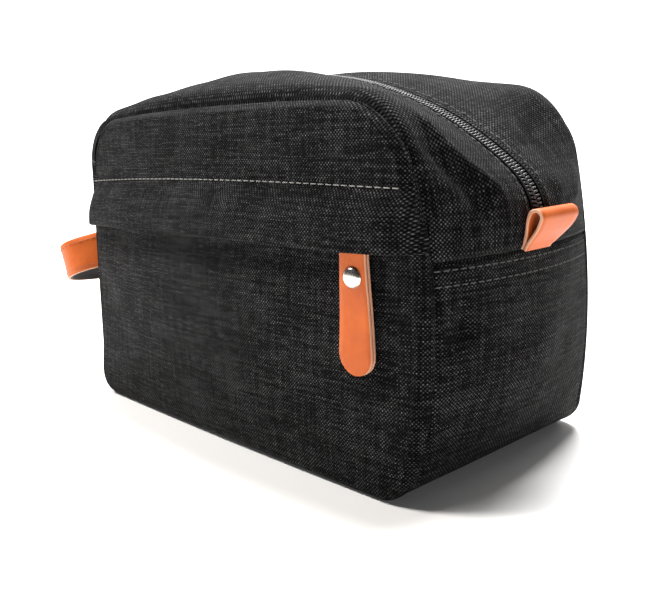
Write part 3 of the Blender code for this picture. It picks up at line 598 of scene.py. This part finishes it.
def front_unevenness(x, z):
    inside = smooth(edge_distance(x, z) / 22)
    total = ripple(x, z, 3, 62) * 0.55 * inside
    total = total + crease(x, z, (104, 58), (92, 74), 3.5, 0.9) * inside
    total = total + crease(x, z, (106, 46), (88, 50), 4.5, -0.8) * inside
    total = total + crease(x, z, (-104, 70), (-70, 60), 8.0, 0.7) * inside
    total = total + crease(x, z, (-60, 136), (40, 137), 5.0, -0.5) * inside
    total = total + crease(x, z, (60, 20), (100, 34), 6.0, 0.8) * inside
    return total + crease(x, z, (-20, 12), (50, 22), 9.0, 0.6) * inside


def back_unevenness(x, z):
    inside = smooth(edge_distance(x, z) / 22)
    total = ripple(x, z, 11, 58) * 0.7 * inside
    total = total + crease(x, z, (-100, 84), (-60, 92), 6.0, 0.9) * inside
    total = total + crease(x, z, (60, 40), (102, 62), 7.0, 0.9) * inside
    return total + crease(x, z, (-40, 128), (50, 130), 7.0, -0.7) * inside


def panel(name, side, start, end, columns=150, open_low=False, open_high=False, dip=0.0):
    """The outer face of a front (side -1) or back (side 1) panel strip, its seam edges turned in."""
    z = panel_levels(start, end)
    share = uneven(columns)
    share = np.concatenate([[-1.0], share, [1.0]])
    tuck_column = np.zeros(len(share))
    tuck_column[[0, -1]] = 1
    tuck_row = np.zeros(len(z))
    if not open_low:
        z, tuck_row = np.concatenate([[z[0]], z]), np.concatenate([[1], tuck_row])
    if not open_high:
        z, tuck_row = np.concatenate([z, [z[-1]]]), np.concatenate([tuck_row, [1]])
    zz, ss = np.meshgrid(z, share, indexing="ij")
    tuck = np.maximum(tuck_row[:, None], tuck_column[None, :])
    x = ss * half_width(zz)
    there = warp(x, zz)
    y = panel_y(x, zz) + (front_unevenness if side < 0 else back_unevenness)(x, zz)
    y = y - dip * np.exp(-(((zz - 90) / 8.0) ** 2)) * smooth(edge_distance(x, zz) / 22)
    points = np.stack([there[0], side * (y - 2.6 * tuck), there[1]], axis=2)
    centre = np.array([0, 0, 72.0])
    inward = centre - points
    inward[..., 1] = 0
    inward /= np.maximum(np.linalg.norm(inward, axis=2, keepdims=True), 1)
    points = points + inward * (0.7 * tuck)[..., None]
    uv = cloth_lengths(points)
    normal = np.zeros_like(points)
    normal[..., 1] = side
    return shell(name, points, uv, CLOTH, FABRIC, flip=side > 0, normals=-normal if side > 0 else normal)


def panel_line(side, z, low, high, out=0.0, count=220):
    """A line across a panel at one height, with the outward normals."""
    x = np.linspace(low, high, count)
    level = np.full(count, float(z))
    there = warp(x, level)
    rise = front_unevenness(x, level) if side < 0 else back_unevenness(x, level)
    path = np.stack([there[0], side * (panel_y(x, level) + rise + out), there[1]], axis=1)
    slope = np.gradient(path, axis=0)
    normal = np.stack([slope[:, 1] * -side, slope[:, 0] * side, slope[:, 0] * 0], axis=1)
    return path, normal / np.linalg.norm(normal, axis=1, keepdims=True)


def flap_offset(z, share):
    down = np.clip((116 - z) / (116 - FLAP_EDGE), 0, 1)
    lift = 6.0 * np.sin(np.clip(down * 1.35, 0, 1) * math.pi / 2)
    lift = lift * np.sin(np.clip((1.0 - np.abs(share)) / 0.10, 0, 1) * math.pi / 2)
    return 0.35 + 1.2 * smooth(down * 3) * smooth((1.0 - np.abs(share)) / 0.02 + 0.35) + lift


def make_flap():
    """One fold of the same cloth, from the stitch line down round its lower edge and a little way up inside."""
    share = np.concatenate([[-1.0], uneven(150), [1.0]]) * 0.981 + 0.017
    tuck = np.zeros(len(share))
    tuck[[0, -1]] = 1
    z = np.concatenate([[FLAP_TOP], np.linspace(FLAP_TOP, FLAP_EDGE + 0.9, 26)])
    drop = np.concatenate([[0.6], np.zeros(26)])
    turns = np.linspace(0, math.pi, 9)[1:]
    z = np.concatenate([z, FLAP_EDGE + 0.9 - 0.9 * np.sin(turns), np.linspace(FLAP_EDGE + 0.9, FLAP_EDGE + 9, 6)[1:]])
    drop = np.concatenate([drop, 0.9 - 0.9 * np.cos(turns), np.full(5, 1.8)])
    zz, ss = np.meshgrid(z, share, indexing="ij")
    x = ss * half_width(zz)
    wave = ripple(x, zz * 0, 23, 70) * 0.7 * smooth((116 - zz) / 20)
    wave = wave + crease(x, zz, (-104, 96), (-86, 112), 5.0, 0.5) + crease(x, zz, (52, 94), (66, 112), 5.0, 0.35)
    zz = zz - 0.7 * ripple(x, zz * 0, 29, 85) * smooth((116 - zz) / 23)
    there = warp(x, zz)
    rise = front_unevenness(x, zz)
    y = panel_y(x, zz) + rise + flap_offset(zz, ss) + wave * 0.5 - drop[:, None] - 2.2 * tuck[None, :]
    points = np.stack([there[0] * (1 - 0.006 * tuck[None, :]), -y, there[1]], axis=2)
    run = np.concatenate([[0], np.cumsum(np.hypot(np.diff(z), np.diff(drop)))])
    uv = np.stack([there[0], np.broadcast_to(FLAP_TOP - run[:, None], zz.shape)], axis=2)
    obj = shell("pocket_flap_cloth", points, uv, CLOTH, 0.7, flip=True)
    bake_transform(obj)
    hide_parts("pocket_flap")
    reach = HALF_LENGTH * 0.985
    path, normal = panel_line(-1, 116.9, -reach, reach, 0.5)
    thread = stitches("pocket_flap_stitches", path, normal, PALE_THREAD, 3.0, 0.8, 0.23)
    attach(thread, "bag")


def make_panels():
    low = panel("front_panel_cloth_lower", -1, 0, POCKET_ZIP_Z - POCKET_SLOT, open_high=True, dip=2.0)
    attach(low, "bag")
    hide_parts("front_panel_lower")
    high = panel("front_panel_cloth_upper", -1, POCKET_ZIP_Z + POCKET_SLOT, HEIGHT, open_low=True)
    on_mouth(high)
    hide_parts("front_panel_middle", "front_panel_upper")
    back = panel("back_panel_cloth", 1, 0, HEIGHT)
    on_mouth(back)
    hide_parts("back_panel_lower", "back_panel_upper")
    for hand, start, end in (("left", -1.0, -0.885), ("right", 0.885, 1.0)):
        share, z = np.linspace(start, end, 14), np.linspace(POCKET_ZIP_Z - 6, POCKET_ZIP_Z + 6, 8)
        zz, ss = np.meshgrid(z, share, indexing="ij")
        x = ss * (half_width(zz) - 0.8)
        there = warp(x, zz)
        y = -(panel_y(x, zz) + front_unevenness(x, zz) - 0.9)
        points = np.stack([there[0], y, there[1]], axis=2)
        normal = np.zeros_like(points)
        normal[..., 1] = -1
        patch = shell(f"front_panel_cloth_end_{hand}", points, points[..., [0, 2]], CLOTH, 1.2, normals=normal)
        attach(patch, "bag")


# ---------------------------------------------------------------- gussets


def gusset_grid(lines, across, depth=0.0, reach_in=0.5):
    """Points over a gusset, their coordinates along and across, and the distance from the nearer panel seam."""
    seam, middle = lines
    a = across[None, :]
    points = seam[:, None, :] + (middle - seam)[:, None, :] * (1 - a**2)[..., None]
    reach = (seam[:, 1] - reach_in)[:, None]
    points[..., 1] = a * reach
    run = lengths(seam)
    along = np.broadcast_to(run[:, None], points.shape[:2])
    from_seam = (1 - np.abs(a)) * reach
    normal = grid_normals(points)
    if faces_inwards(points):
        normal = -normal
    return points - normal * depth, normal, along, from_seam


def top_roll(u, length, from_seam, word):
    """The cloth stands up in a soft roll behind the panel's edge, most along the top."""
    t = np.minimum(u, length - u)
    over = smooth((t - 34) / 34)
    size = 5.2 if word == "front" else 6.0
    round_over = roll(from_seam, 9.0) * (1 - 0.9 * smooth((from_seam - 12) / 34))
    return size * over * round_over + 1.2 * smooth(t / 30) * roll(from_seam, 6.0)


def upper_unevenness(u, v, word):
    """u runs over the top from the end seam at +X, v across."""
    total = ripple(u, v, 41 if word == "front" else 43, 40) * 0.5
    if word == "front":
        total = total + crease(u, v, (56, -42), (20, -17), 2.8, 2.3)
        total = total + crease(u, v, (46, -45), (16, -26), 3.4, -2.1)
        total = total + crease(u, v, (66, -44), (60, -16), 5.0, -1.0)
        total = total + crease(u, v, (30, -12), (16, -26), 4.0, 1.3)
        total = total + crease(u, v, (12, -44), (26, -14), 4.0, -1.0)
        total = total + crease(u, v, (288, -48), (262, -20), 5.0, -1.3)
        total = total + crease(u, v, (244, -40), (276, -30), 5.0, 1.2)
    else:
        total = total + crease(u, v, (40, 14), (58, 44), 6.0, -1.2)
        total = total + crease(u, v, (22, 12), (26, 44), 5.0, 1.2)
        total = total + crease(u, v, (10, 16), (22, 36), 3.0, 1.1)
        total = total + crease(u, v, (280, 18), (262, 46), 6.0, -1.2)
    return total


def make_upper_gusset(word):
    side = -1 if word == "front" else 1
    lines = upper_lines()
    near, far = SLOT / HALF_DEPTH, 1.0
    across = near + (far - near) * (1 - (1 - np.linspace(0, 1, 44)) ** 1.35)
    across = np.concatenate([[near], across, [far]]) * side
    points, normal, along, from_seam = gusset_grid(lines, across)
    y = points[..., 1]
    from_slot = np.abs(y) - np.abs(y[:, :1])
    inside = smooth(from_seam / 14) * smooth(from_slot / 10) * smooth(np.minimum(along, along[-1] - along) / 16)
    lift = upper_unevenness(along, y, word) * inside
    lift = lift + top_roll(along, along[-1, 0], from_seam, word) * smooth(from_slot / 14)
    pucker = 0.3 * np.sin(along * math.tau / 4.6) * np.exp(-((from_slot - 3.2) / 2.2) ** 2)
    lift = lift + pucker - GROOVE * (1 - roll(from_seam, 3.6)) - 0.9 * (1 - roll(from_slot, 1.4))
    points = points + normal * lift[..., None]
    tuck = np.zeros(len(across))
    tuck[[0, -1]] = 1
    points = points - normal * (TUCK * tuck[None, :])[..., None]
    hem = np.minimum(along, along[-1] - along) - 2.6
    ledge = 0.9 * np.exp(-((np.clip(hem - 1.2, 0, None) / 2.5) ** 2)) * roll(hem, 0.9)
    points = points + normal * (ledge - 1.4 * smooth(-hem / 0.4))[..., None]
    uv = np.stack([along, y], axis=2)
    flip = faces_inwards(points)
    obj = shell(f"upper_gusset_cloth_{word}", points, uv, CLOTH, FABRIC, flip=flip)
    on_mouth(obj)
    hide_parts(f"upper_gusset_{word}", f"end_gusset_{word}_left", f"end_gusset_{word}_right")
    column = int(np.argmin(np.abs(from_slot[len(along) // 2] - 3.2)))
    path, out = points[4:-4, column], normal[4:-4, column]
    thread = stitches(f"zip_edge_stitches_{word}", path, out, DARK_THREAD, 2.5, 0.8, 0.24)
    on_mouth(thread)


def make_lower_gusset():
    lines = lower_lines()
    across = np.concatenate([[-1.0], uneven(74, 1.35), [1.0]])
    points, normal, along, from_seam = gusset_grid(lines, across)
    y = points[..., 1]
    from_end = np.minimum(along, along[-1] - along)
    standing = smooth(points[..., 2] / 14)
    inside = smooth(from_seam / 14) * smooth(from_end / 16) * standing
    bumps = ripple(along, y, 61, 40) * 0.7
    bumps = bumps + crease(along, y, (22, -34), (26, -50), 6.0, -2.2)
    bumps = bumps + crease(along, y, (60, -12), (40, 30), 9.0, -0.9)
    bumps = bumps + crease(along, y, (66, -34), (76, 20), 8.0, 0.9)
    lift = bumps * inside - GROOVE * (1 - roll(from_seam, 3.6)) * smooth(points[..., 2] / 3 + 0.25)
    lift = lift + 0.2 - 1.4 * (1 - roll(from_end, 1.6)) - 0.5 * (1 - standing)
    for depth in END_STITCH_DEPTHS:
        lift = lift - 0.3 * np.exp(-(((from_end - depth) / 0.9) ** 2))
    points = points + normal * lift[..., None]
    points[..., 2] = np.maximum(points[..., 2], 0.0)
    tuck = np.zeros(len(across))
    tuck[[0, -1]] = 1
    points = points - normal * (TUCK * tuck[None, :])[..., None]
    uv = np.stack([y, along], axis=2)
    flip = faces_inwards(points)
    obj = shell("lower_gusset_cloth", points, uv, CLOTH, FABRIC, flip=flip)
    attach(obj, "bag")
    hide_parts("lower_gusset")
    for depth, row in zip(END_STITCH_DEPTHS, ("upper", "lower")):
        for hand in ("right", "left"):
            run = along[:, 0]
            at = depth if hand == "right" else run[-1] - depth
            i = int(np.argmin(np.abs(run - at)))
            path, out = points[i, 3:-3], normal[i, 3:-3]
            thread = stitches(f"end_seam_stitches_{hand}_{row}", path, out, DARK_THREAD, 2.8, 0.8, 0.26)
            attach(thread, "bag")


def inner_strip(name, word, near, far, depth, thickness, finish, slot, *nodes):
    """A lining, binding or tape strip under the upper gusset."""
    side = -1 if word == "front" else 1
    across = np.linspace(near, far, 8) / HALF_DEPTH * side
    points, _, along, _ = gusset_grid(upper_lines(70), across, depth, 2.0)
    uv = np.stack([along, points[..., 1]], axis=2)
    flip = faces_inwards(points)
    obj = shell(name, points, uv, finish, thickness, flip=flip)
    on_mouth(obj)
    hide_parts(*nodes)


# ---------------------------------------------------------------- zips


def make_main_zip():
    _, middle = upper_lines(400)
    normal = np.gradient(middle, axis=0)
    normal = np.stack([normal[:, 2], normal[:, 0] * 0, -normal[:, 0]], axis=1)
    normal /= np.linalg.norm(normal, axis=1, keepdims=True)
    if normal[len(normal) // 2, 2] < 0:
        normal = -normal
    inside = slice(14, -14)
    for word in ("front", "back"):
        path = middle[inside] - normal[inside] * 1.2
        along = np.gradient(path, axis=0)
        toward = np.cross(normal[inside], along)[:, 1].mean()
        hand = (1 if toward > 0 else -1) * (-1 if word == "front" else 1)
        coil = coil_half(f"main_zip_turns_{word}", path, normal[inside], hand, 1.5, 2.1, 0.95, 0.48, COIL)
        on_mouth(coil)
        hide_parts(f"main_zip_coil_{word}")
        strips = (
            ("main_zip_tape_cloth", 0.9, 14.0, 2.2, 0.5, TAPE, "binding_tape", f"main_zip_tape_{word}"),
            ("gusset_lining_cloth", 12.0, 46.0, 4.6, 0.5, LINING, "lining_fabric", f"lining_gusset_{word}"),
            ("seam_binding_cloth", 43.0, 50.0, 3.2, 0.9, BINDING, "binding_tape", f"seam_binding_{word}_upper"),
        )
        for name, *rest in strips:
            inner_strip(f"{name}_{word}", word, *rest)


def make_pocket_zip():
    for word, hand in (("lower", 1), ("upper", -1)):
        path, normal = panel_line(-1, POCKET_ZIP_Z, -POCKET_ZIP_END, POCKET_ZIP_END, -0.75, 300)
        coil = coil_half(f"pocket_zip_turns_{word}", path, normal, -hand, 1.25, 1.35, 0.5, 0.3, COIL, 8)
        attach(coil, "bag")
        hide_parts(f"pocket_zip_coil_{word}")


# ---------------------------------------------------------------- pulls, tab and handle


def pull_frames():
    """(origin, side, out, down) of each pull: its link's pivot and directions."""
    angle, dip = math.radians(37.3), math.radians(5)
    down = np.array([-math.cos(angle), 0, -math.sin(angle)])
    out = np.array([-math.sin(angle), 0, math.cos(angle)])
    radius = ZIP_RADIUS + 0.5
    origin = np.array([0, 0, ZIP_CENTRE_Z]) + out * radius + down * 1.2 + out * 2.25
    tilted = down * math.cos(dip) - out * math.sin(dip)
    lifted = out * math.cos(dip) + down * math.sin(dip)
    main = (origin, np.array([0, -1.0, 0]), lifted, tilted)
    share = POCKET_SLIDER_X / (HALF_LENGTH + END_BOW * belly(POCKET_ZIP_Z)) / taper(POCKET_ZIP_Z)
    places = []
    for s in (share, share + 0.02):
        x = s * HALF_LENGTH
        there = warp(x, POCKET_ZIP_Z)
        places.append(np.array([there[0], -panel_y(np.array(x), np.array(POCKET_ZIP_Z)), there[1]]))
    slope = (places[1] - places[0]) / np.linalg.norm(places[1] - places[0])
    out = np.array([slope[1], -slope[0], 0])
    hang = np.array([0, 0, -1.0])
    pocket = (places[0] + out * 3.0, slope, out, hang)
    return {"main": main, "pocket": pocket}


def pull_half_width(d, top, end):
    """Half the width of the tongue at distance d below the link's pivot."""
    neck, shoulder, wide = 2.2, 5.9, 7.7
    grow = smooth((d - top) / 0.5)
    width = neck + (shoulder - neck) * grow
    spread = shoulder + (wide - shoulder) * np.clip((d - top - 3) / (end - top - 11), 0, 1)
    width = np.where(d > top + 3.0, spread, width)
    past = np.clip(d - (end - wide), 0, wide)
    return np.where(d > end - wide, np.sqrt(np.clip(wide**2 - past**2, 0.02, None)), width)


def make_pull(prefix, body, link):
    origin, side, out, down = pull_frames()[prefix]
    end = link - 1.5 + 47.3
    radius = 1.38
    tip = end - 8 * (1 - np.sin(np.linspace(0, math.pi / 2, 14)))
    straight = np.concatenate([[link + 0.2, link + 0.45, link + 0.8], np.linspace(link + 1.4, end - 8.2, 24)])
    ply = np.concatenate([straight, tip])
    turns = np.linspace(0, math.pi, 9)[1:-1]
    d = np.concatenate([ply[::-1], link - radius * np.sin(turns), ply])
    o = np.concatenate([np.full(len(ply), radius), radius * np.cos(turns), np.full(len(ply), -radius)])
    nd = np.concatenate([ply * 0, -np.sin(turns), ply * 0])
    no = np.concatenate([ply * 0 + 1, np.cos(turns), ply * 0 - 1])
    curl = 0.2 * np.clip((d - link - 14) / 30, 0, 1) ** 2
    bow = -0.25 * np.sin(np.clip((d - link - 12) / 26, 0, 1) * math.pi) + curl
    path = origin + np.outer(d, down) + np.outer(o + bow, out)
    normal = np.outer(nd, down) + np.outer(no, out)
    width = pull_half_width(d, link + 0.3, end)
    sides = np.broadcast_to(side, path.shape)
    tongue = ribbon(f"{prefix}_pull_tongue", path, normal, sides, width, width, 1.22, [TAN, CUT], 7, 0.28)
    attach(tongue, body)
    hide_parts(f"{prefix}_pull_leather")
    centre = origin + down * (link - 1.5 + 11.1) + out * (radius + 0.05)
    matrix = Matrix((side, np.cross(out, side), out)).transposed().to_4x4()
    matrix.translation = Vector(centre)
    dome = [(0.02, -0.2), (3.6, -0.2), (4.0, 0.0), (4.05, 0.25), (3.9, 0.5)]
    dome += [(3.8 * math.cos(t), 0.5 + 1.25 * math.sin(t)) for t in np.linspace(0.12, math.pi / 2 - 0.02, 12)]
    cap = lathe(f"{prefix}_rivet_cap", dome, NICKEL, matrix)
    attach(cap, body)
    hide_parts(f"{prefix}_pull_rivet")
    rear = matrix.copy()
    rear.translation = Vector(centre - out * 2 * (radius + 0.05))
    washer = [(0.02, 0.15), (3.3, 0.15), (3.4, 0.0), (3.4, -0.12)]
    washer += [(3.2, -0.25), (1.6, -0.28), (1.2, -0.16), (0.02, -0.14)]
    back = lathe(f"{prefix}_rivet_back", washer, NICKEL, rear, 36)
    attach(back, body)


def local_frame(origin, turn):
    matrix = Matrix.Translation(Vector(origin)) @ Matrix.Rotation(turn, 4, "Y")
    return np.array(matrix)


def carried(matrix, points, direction=False):
    points = np.asarray(points, float)
    return points @ matrix[:3, :3].T + (0 if direction else matrix[:3, 3])


def make_tab():
    """A folded tab: a teardrop loop from the end seam, its far lower corner drawn into the seam."""
    turns = np.linspace(math.pi, 0, 13)
    loop = [(-1.45, -3.0), (-1.5, 0.2), (-2.1, 3.0), (-2.9, 6.2), (-3.2, 8.8)]
    loop += [(3.2 * math.cos(t), 10.7 + 3.1 * math.sin(t)) for t in turns]
    loop += [(3.2, 8.8), (2.9, 6.2), (2.1, 3.0), (1.5, 0.2), (1.45, -3.0)]
    flat = np.array([(x, 0, z) for x, z in loop])
    flat = dense(flat, 60)
    flat[:, 0] += 0.05 * (flat[:, 2] - 4)
    slope = np.gradient(flat, axis=0)
    normal = np.stack([-slope[:, 2], slope[:, 0] * 0, slope[:, 0]], axis=1)
    normal /= np.linalg.norm(normal, axis=1, keepdims=True)
    if (normal * (flat - flat.mean(axis=0))).sum() < 0:
        normal = -normal
    matrix = local_frame((END_X + 2.4, 1.2, END_Z + 2.0), math.atan2(7.0, 14.5))
    far = 10.2 - 5.0 * (1 - roll(flat[:, 2] + 1.5, 12.0))
    near = 11.2 + 2.2 * smooth(flat[:, 2] / 13)
    side = np.broadcast_to(np.array([0, 1.0, 0]), flat.shape)
    path, normal = carried(matrix, flat), carried(matrix, normal, True)
    tab = ribbon("end_tab_leather", path, normal, side, near, far, 1.35, [TAN, CUT], 9, 0.3)
    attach(tab, "bag")
    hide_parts("end_tab")


def strap_line(count=90):
    lean = math.asin(50 / 59)
    turn = np.linspace(-(math.pi - lean), math.pi - lean, count)
    x = -np.sign(np.cos(turn)) * np.abs(np.cos(turn)) ** 0.86 * 25.3
    y = np.sign(np.sin(turn)) * np.abs(np.sin(turn)) ** 0.86 * 59
    line = np.stack([x - x[0], y, turn * 0], axis=1)
    kept = dense(line, count)
    start, end = kept[0] - kept[1], kept[-1] - kept[-2]
    start, end = start / np.linalg.norm(start), end / np.linalg.norm(end)
    grow = np.linspace(13, 1.2, 10)[:, None]
    return np.concatenate([kept[0] + start * grow, kept, kept[-1] + end * grow[::-1]])


def make_handle():
    line = strap_line()
    slope = np.gradient(line, axis=0)
    normal = np.stack([-slope[:, 1], slope[:, 0], slope[:, 0] * 0], axis=1)
    normal /= np.linalg.norm(normal, axis=1, keepdims=True)
    if (normal[len(normal) // 2] * np.array([-1, 0, 0])).sum() < 0:
        normal = -normal
    matrix = local_frame((-127, 0, 75), -math.radians(20))
    up = np.broadcast_to(np.array([0, 0, 1.0]), line.shape)
    path, out, side = carried(matrix, line), carried(matrix, normal, True), carried(matrix, up, True)
    pieces = (
        ("handle_strap_face", path, 1.3, [TAN, CUT], "tan_leather", "handle_strap_leather"),
        ("handle_strap_lining", path - out * 1.32, 1.1, [BLACK, BLACK], "black_backing", "handle_strap_backing"),
    )
    for name, there, thickness, finishes, slot, node in pieces:
        strap = ribbon(name, there, out, side, 9.6, 9.6, thickness, finishes, 7, 0.3)
        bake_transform(strap)
        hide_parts(node)
    for hand, shift in (("upper", 7.0), ("lower", -7.0)):
        row = path + side * shift + out * 0.02
        thread = stitches(f"handle_stitches_{hand}", row, out, TAN_THREAD, 2.6, 1.1, 0.27)
        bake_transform(thread)


# ---------------------------------------------------------------- carried-over solids


def finish_solids():
    looks = {
        "lining_fabric": LINING,
        "binding_tape": TAPE,
        "zip_coil": COIL,
        "nickel": NICKEL,
        "tan_leather": TAN,
        "black_backing": BLACK,
        "charcoal_fabric": CLOTH,
    }
    slots = {row["node"]: row["material_slot"] for row in frame["record"]["subparts"]}
    for node, obj in frame["nodes"].items():
        if obj.hide_render or obj.type != "MESH":
            continue
        for slot in obj.material_slots:
            slot.link = "OBJECT"
            slot.material = looks[slots[node]]
        if slots[node] == "nickel":
            bevel = obj.modifiers.new("Soft edges", "BEVEL")
            bevel.width = 0.22 * MM
            bevel.segments = 2
            bevel.limit_method = "ANGLE"
            bevel.angle_limit = math.radians(35)


# ---------------------------------------------------------------- stage


def make_stage():
    n = Nodes("pale_floor_painted_glow")
    n.shader.inputs["Emission Color"].default_value = (1, 1, 1, 1)
    reach = n.tree.nodes.new("ShaderNodeVectorMath")
    reach.operation = "LENGTH"
    n.put(reach.inputs[0], n.position())
    # Painted glow: the floor and backdrop glow white, faintly near the bag and strongly farther out, as painted light
    n.put(n.shader.inputs["Emission Strength"], n.spread(reach.outputs["Value"], 0.25, 0.75, 0.04, 0.9))
    n.set(Base_Color=(0.88, 0.865, 0.85, 1), Roughness=0.7)
    profile = [(-1.6, 0.0), (1.5, 0.0)]
    profile += [(1.5 + 0.7 * math.sin(t), 0.7 - 0.7 * math.cos(t)) for t in np.linspace(0.1, math.pi / 2, 14)]
    profile += [(2.2, 2.6)]
    points, faces = [], []
    away = np.array([-0.73, 0.68])
    across = np.array([0.68, 0.73])
    for reach, height in profile:
        for side in (-3.2, 3.2):
            x, y = away * reach + across * side
            points.append((x * 1000, y * 1000, height * 1000 - 0.05))
    for i in range(len(profile) - 1):
        faces.append([2 * i, 2 * i + 1, 2 * i + 3, 2 * i + 2])
    floor = mesh_object("backdrop", np.array(points), faces, [n.material], sharp=80.0)


def light(name, place, aim, size, power, colour=(1, 1, 1)):
    data = bpy.data.lights.new(name, "AREA")
    data.shape = "DISK"
    data.size = size
    data.energy = power
    data.color = colour
    obj = bpy.data.objects.new(name, data)
    bpy.context.scene.collection.objects.link(obj)
    obj.location = place
    obj.rotation_euler = (Vector(aim) - Vector(place)).to_track_quat("-Z", "Y").to_euler()


def make_lights():
    world = bpy.data.worlds.new("studio")
    world.use_nodes = True
    world.node_tree.nodes["Background"].inputs[0].default_value = (0.97, 0.98, 1.0, 1)
    world.node_tree.nodes["Background"].inputs[1].default_value = 0.06
    bpy.context.scene.world = world
    light("key", (-0.7, -0.6, 1.15), (0, 0, 0.06), 0.4, 26, (1.0, 0.985, 0.96))
    light("top", (-0.15, 0.4, 1.35), (0, 0, 0.08), 0.8, 60)
    light("rim", (0.2, 1.2, 0.7), (0, 0, 0.1), 0.7, 1.5)


def make_camera():
    data = bpy.data.cameras.new("camera")
    data.lens = 44.27
    data.sensor_width = 36
    data.shift_x, data.shift_y = 0.0064, -0.0061
    data.clip_start = 0.01
    camera = bpy.data.objects.new("camera", data)
    bpy.context.scene.collection.objects.link(camera)
    right = Vector((0.67841, 0.73344, -0.04270))
    up = Vector((-0.12143, 0.16925, 0.97806))
    back = right.cross(up)
    turn = Matrix((right, up, back)).transposed().to_4x4()
    camera.matrix_world = Matrix.Translation((0.2980, -0.2591, 0.1338)) @ turn
    bpy.context.scene.camera = camera


make_panels()
make_flap()
make_upper_gusset("front")
make_upper_gusset("back")
make_lower_gusset()
make_main_zip()
make_pocket_zip()
make_pull("main", "main_puller", 7.0)
make_pull("pocket", "pocket_pull", 5.6)
make_tab()
make_handle()
finish_solids()
make_stage()
make_lights()
make_camera()
bpy.context.scene.view_settings.view_transform = "Standard"

bpy.context.view_layer.update()
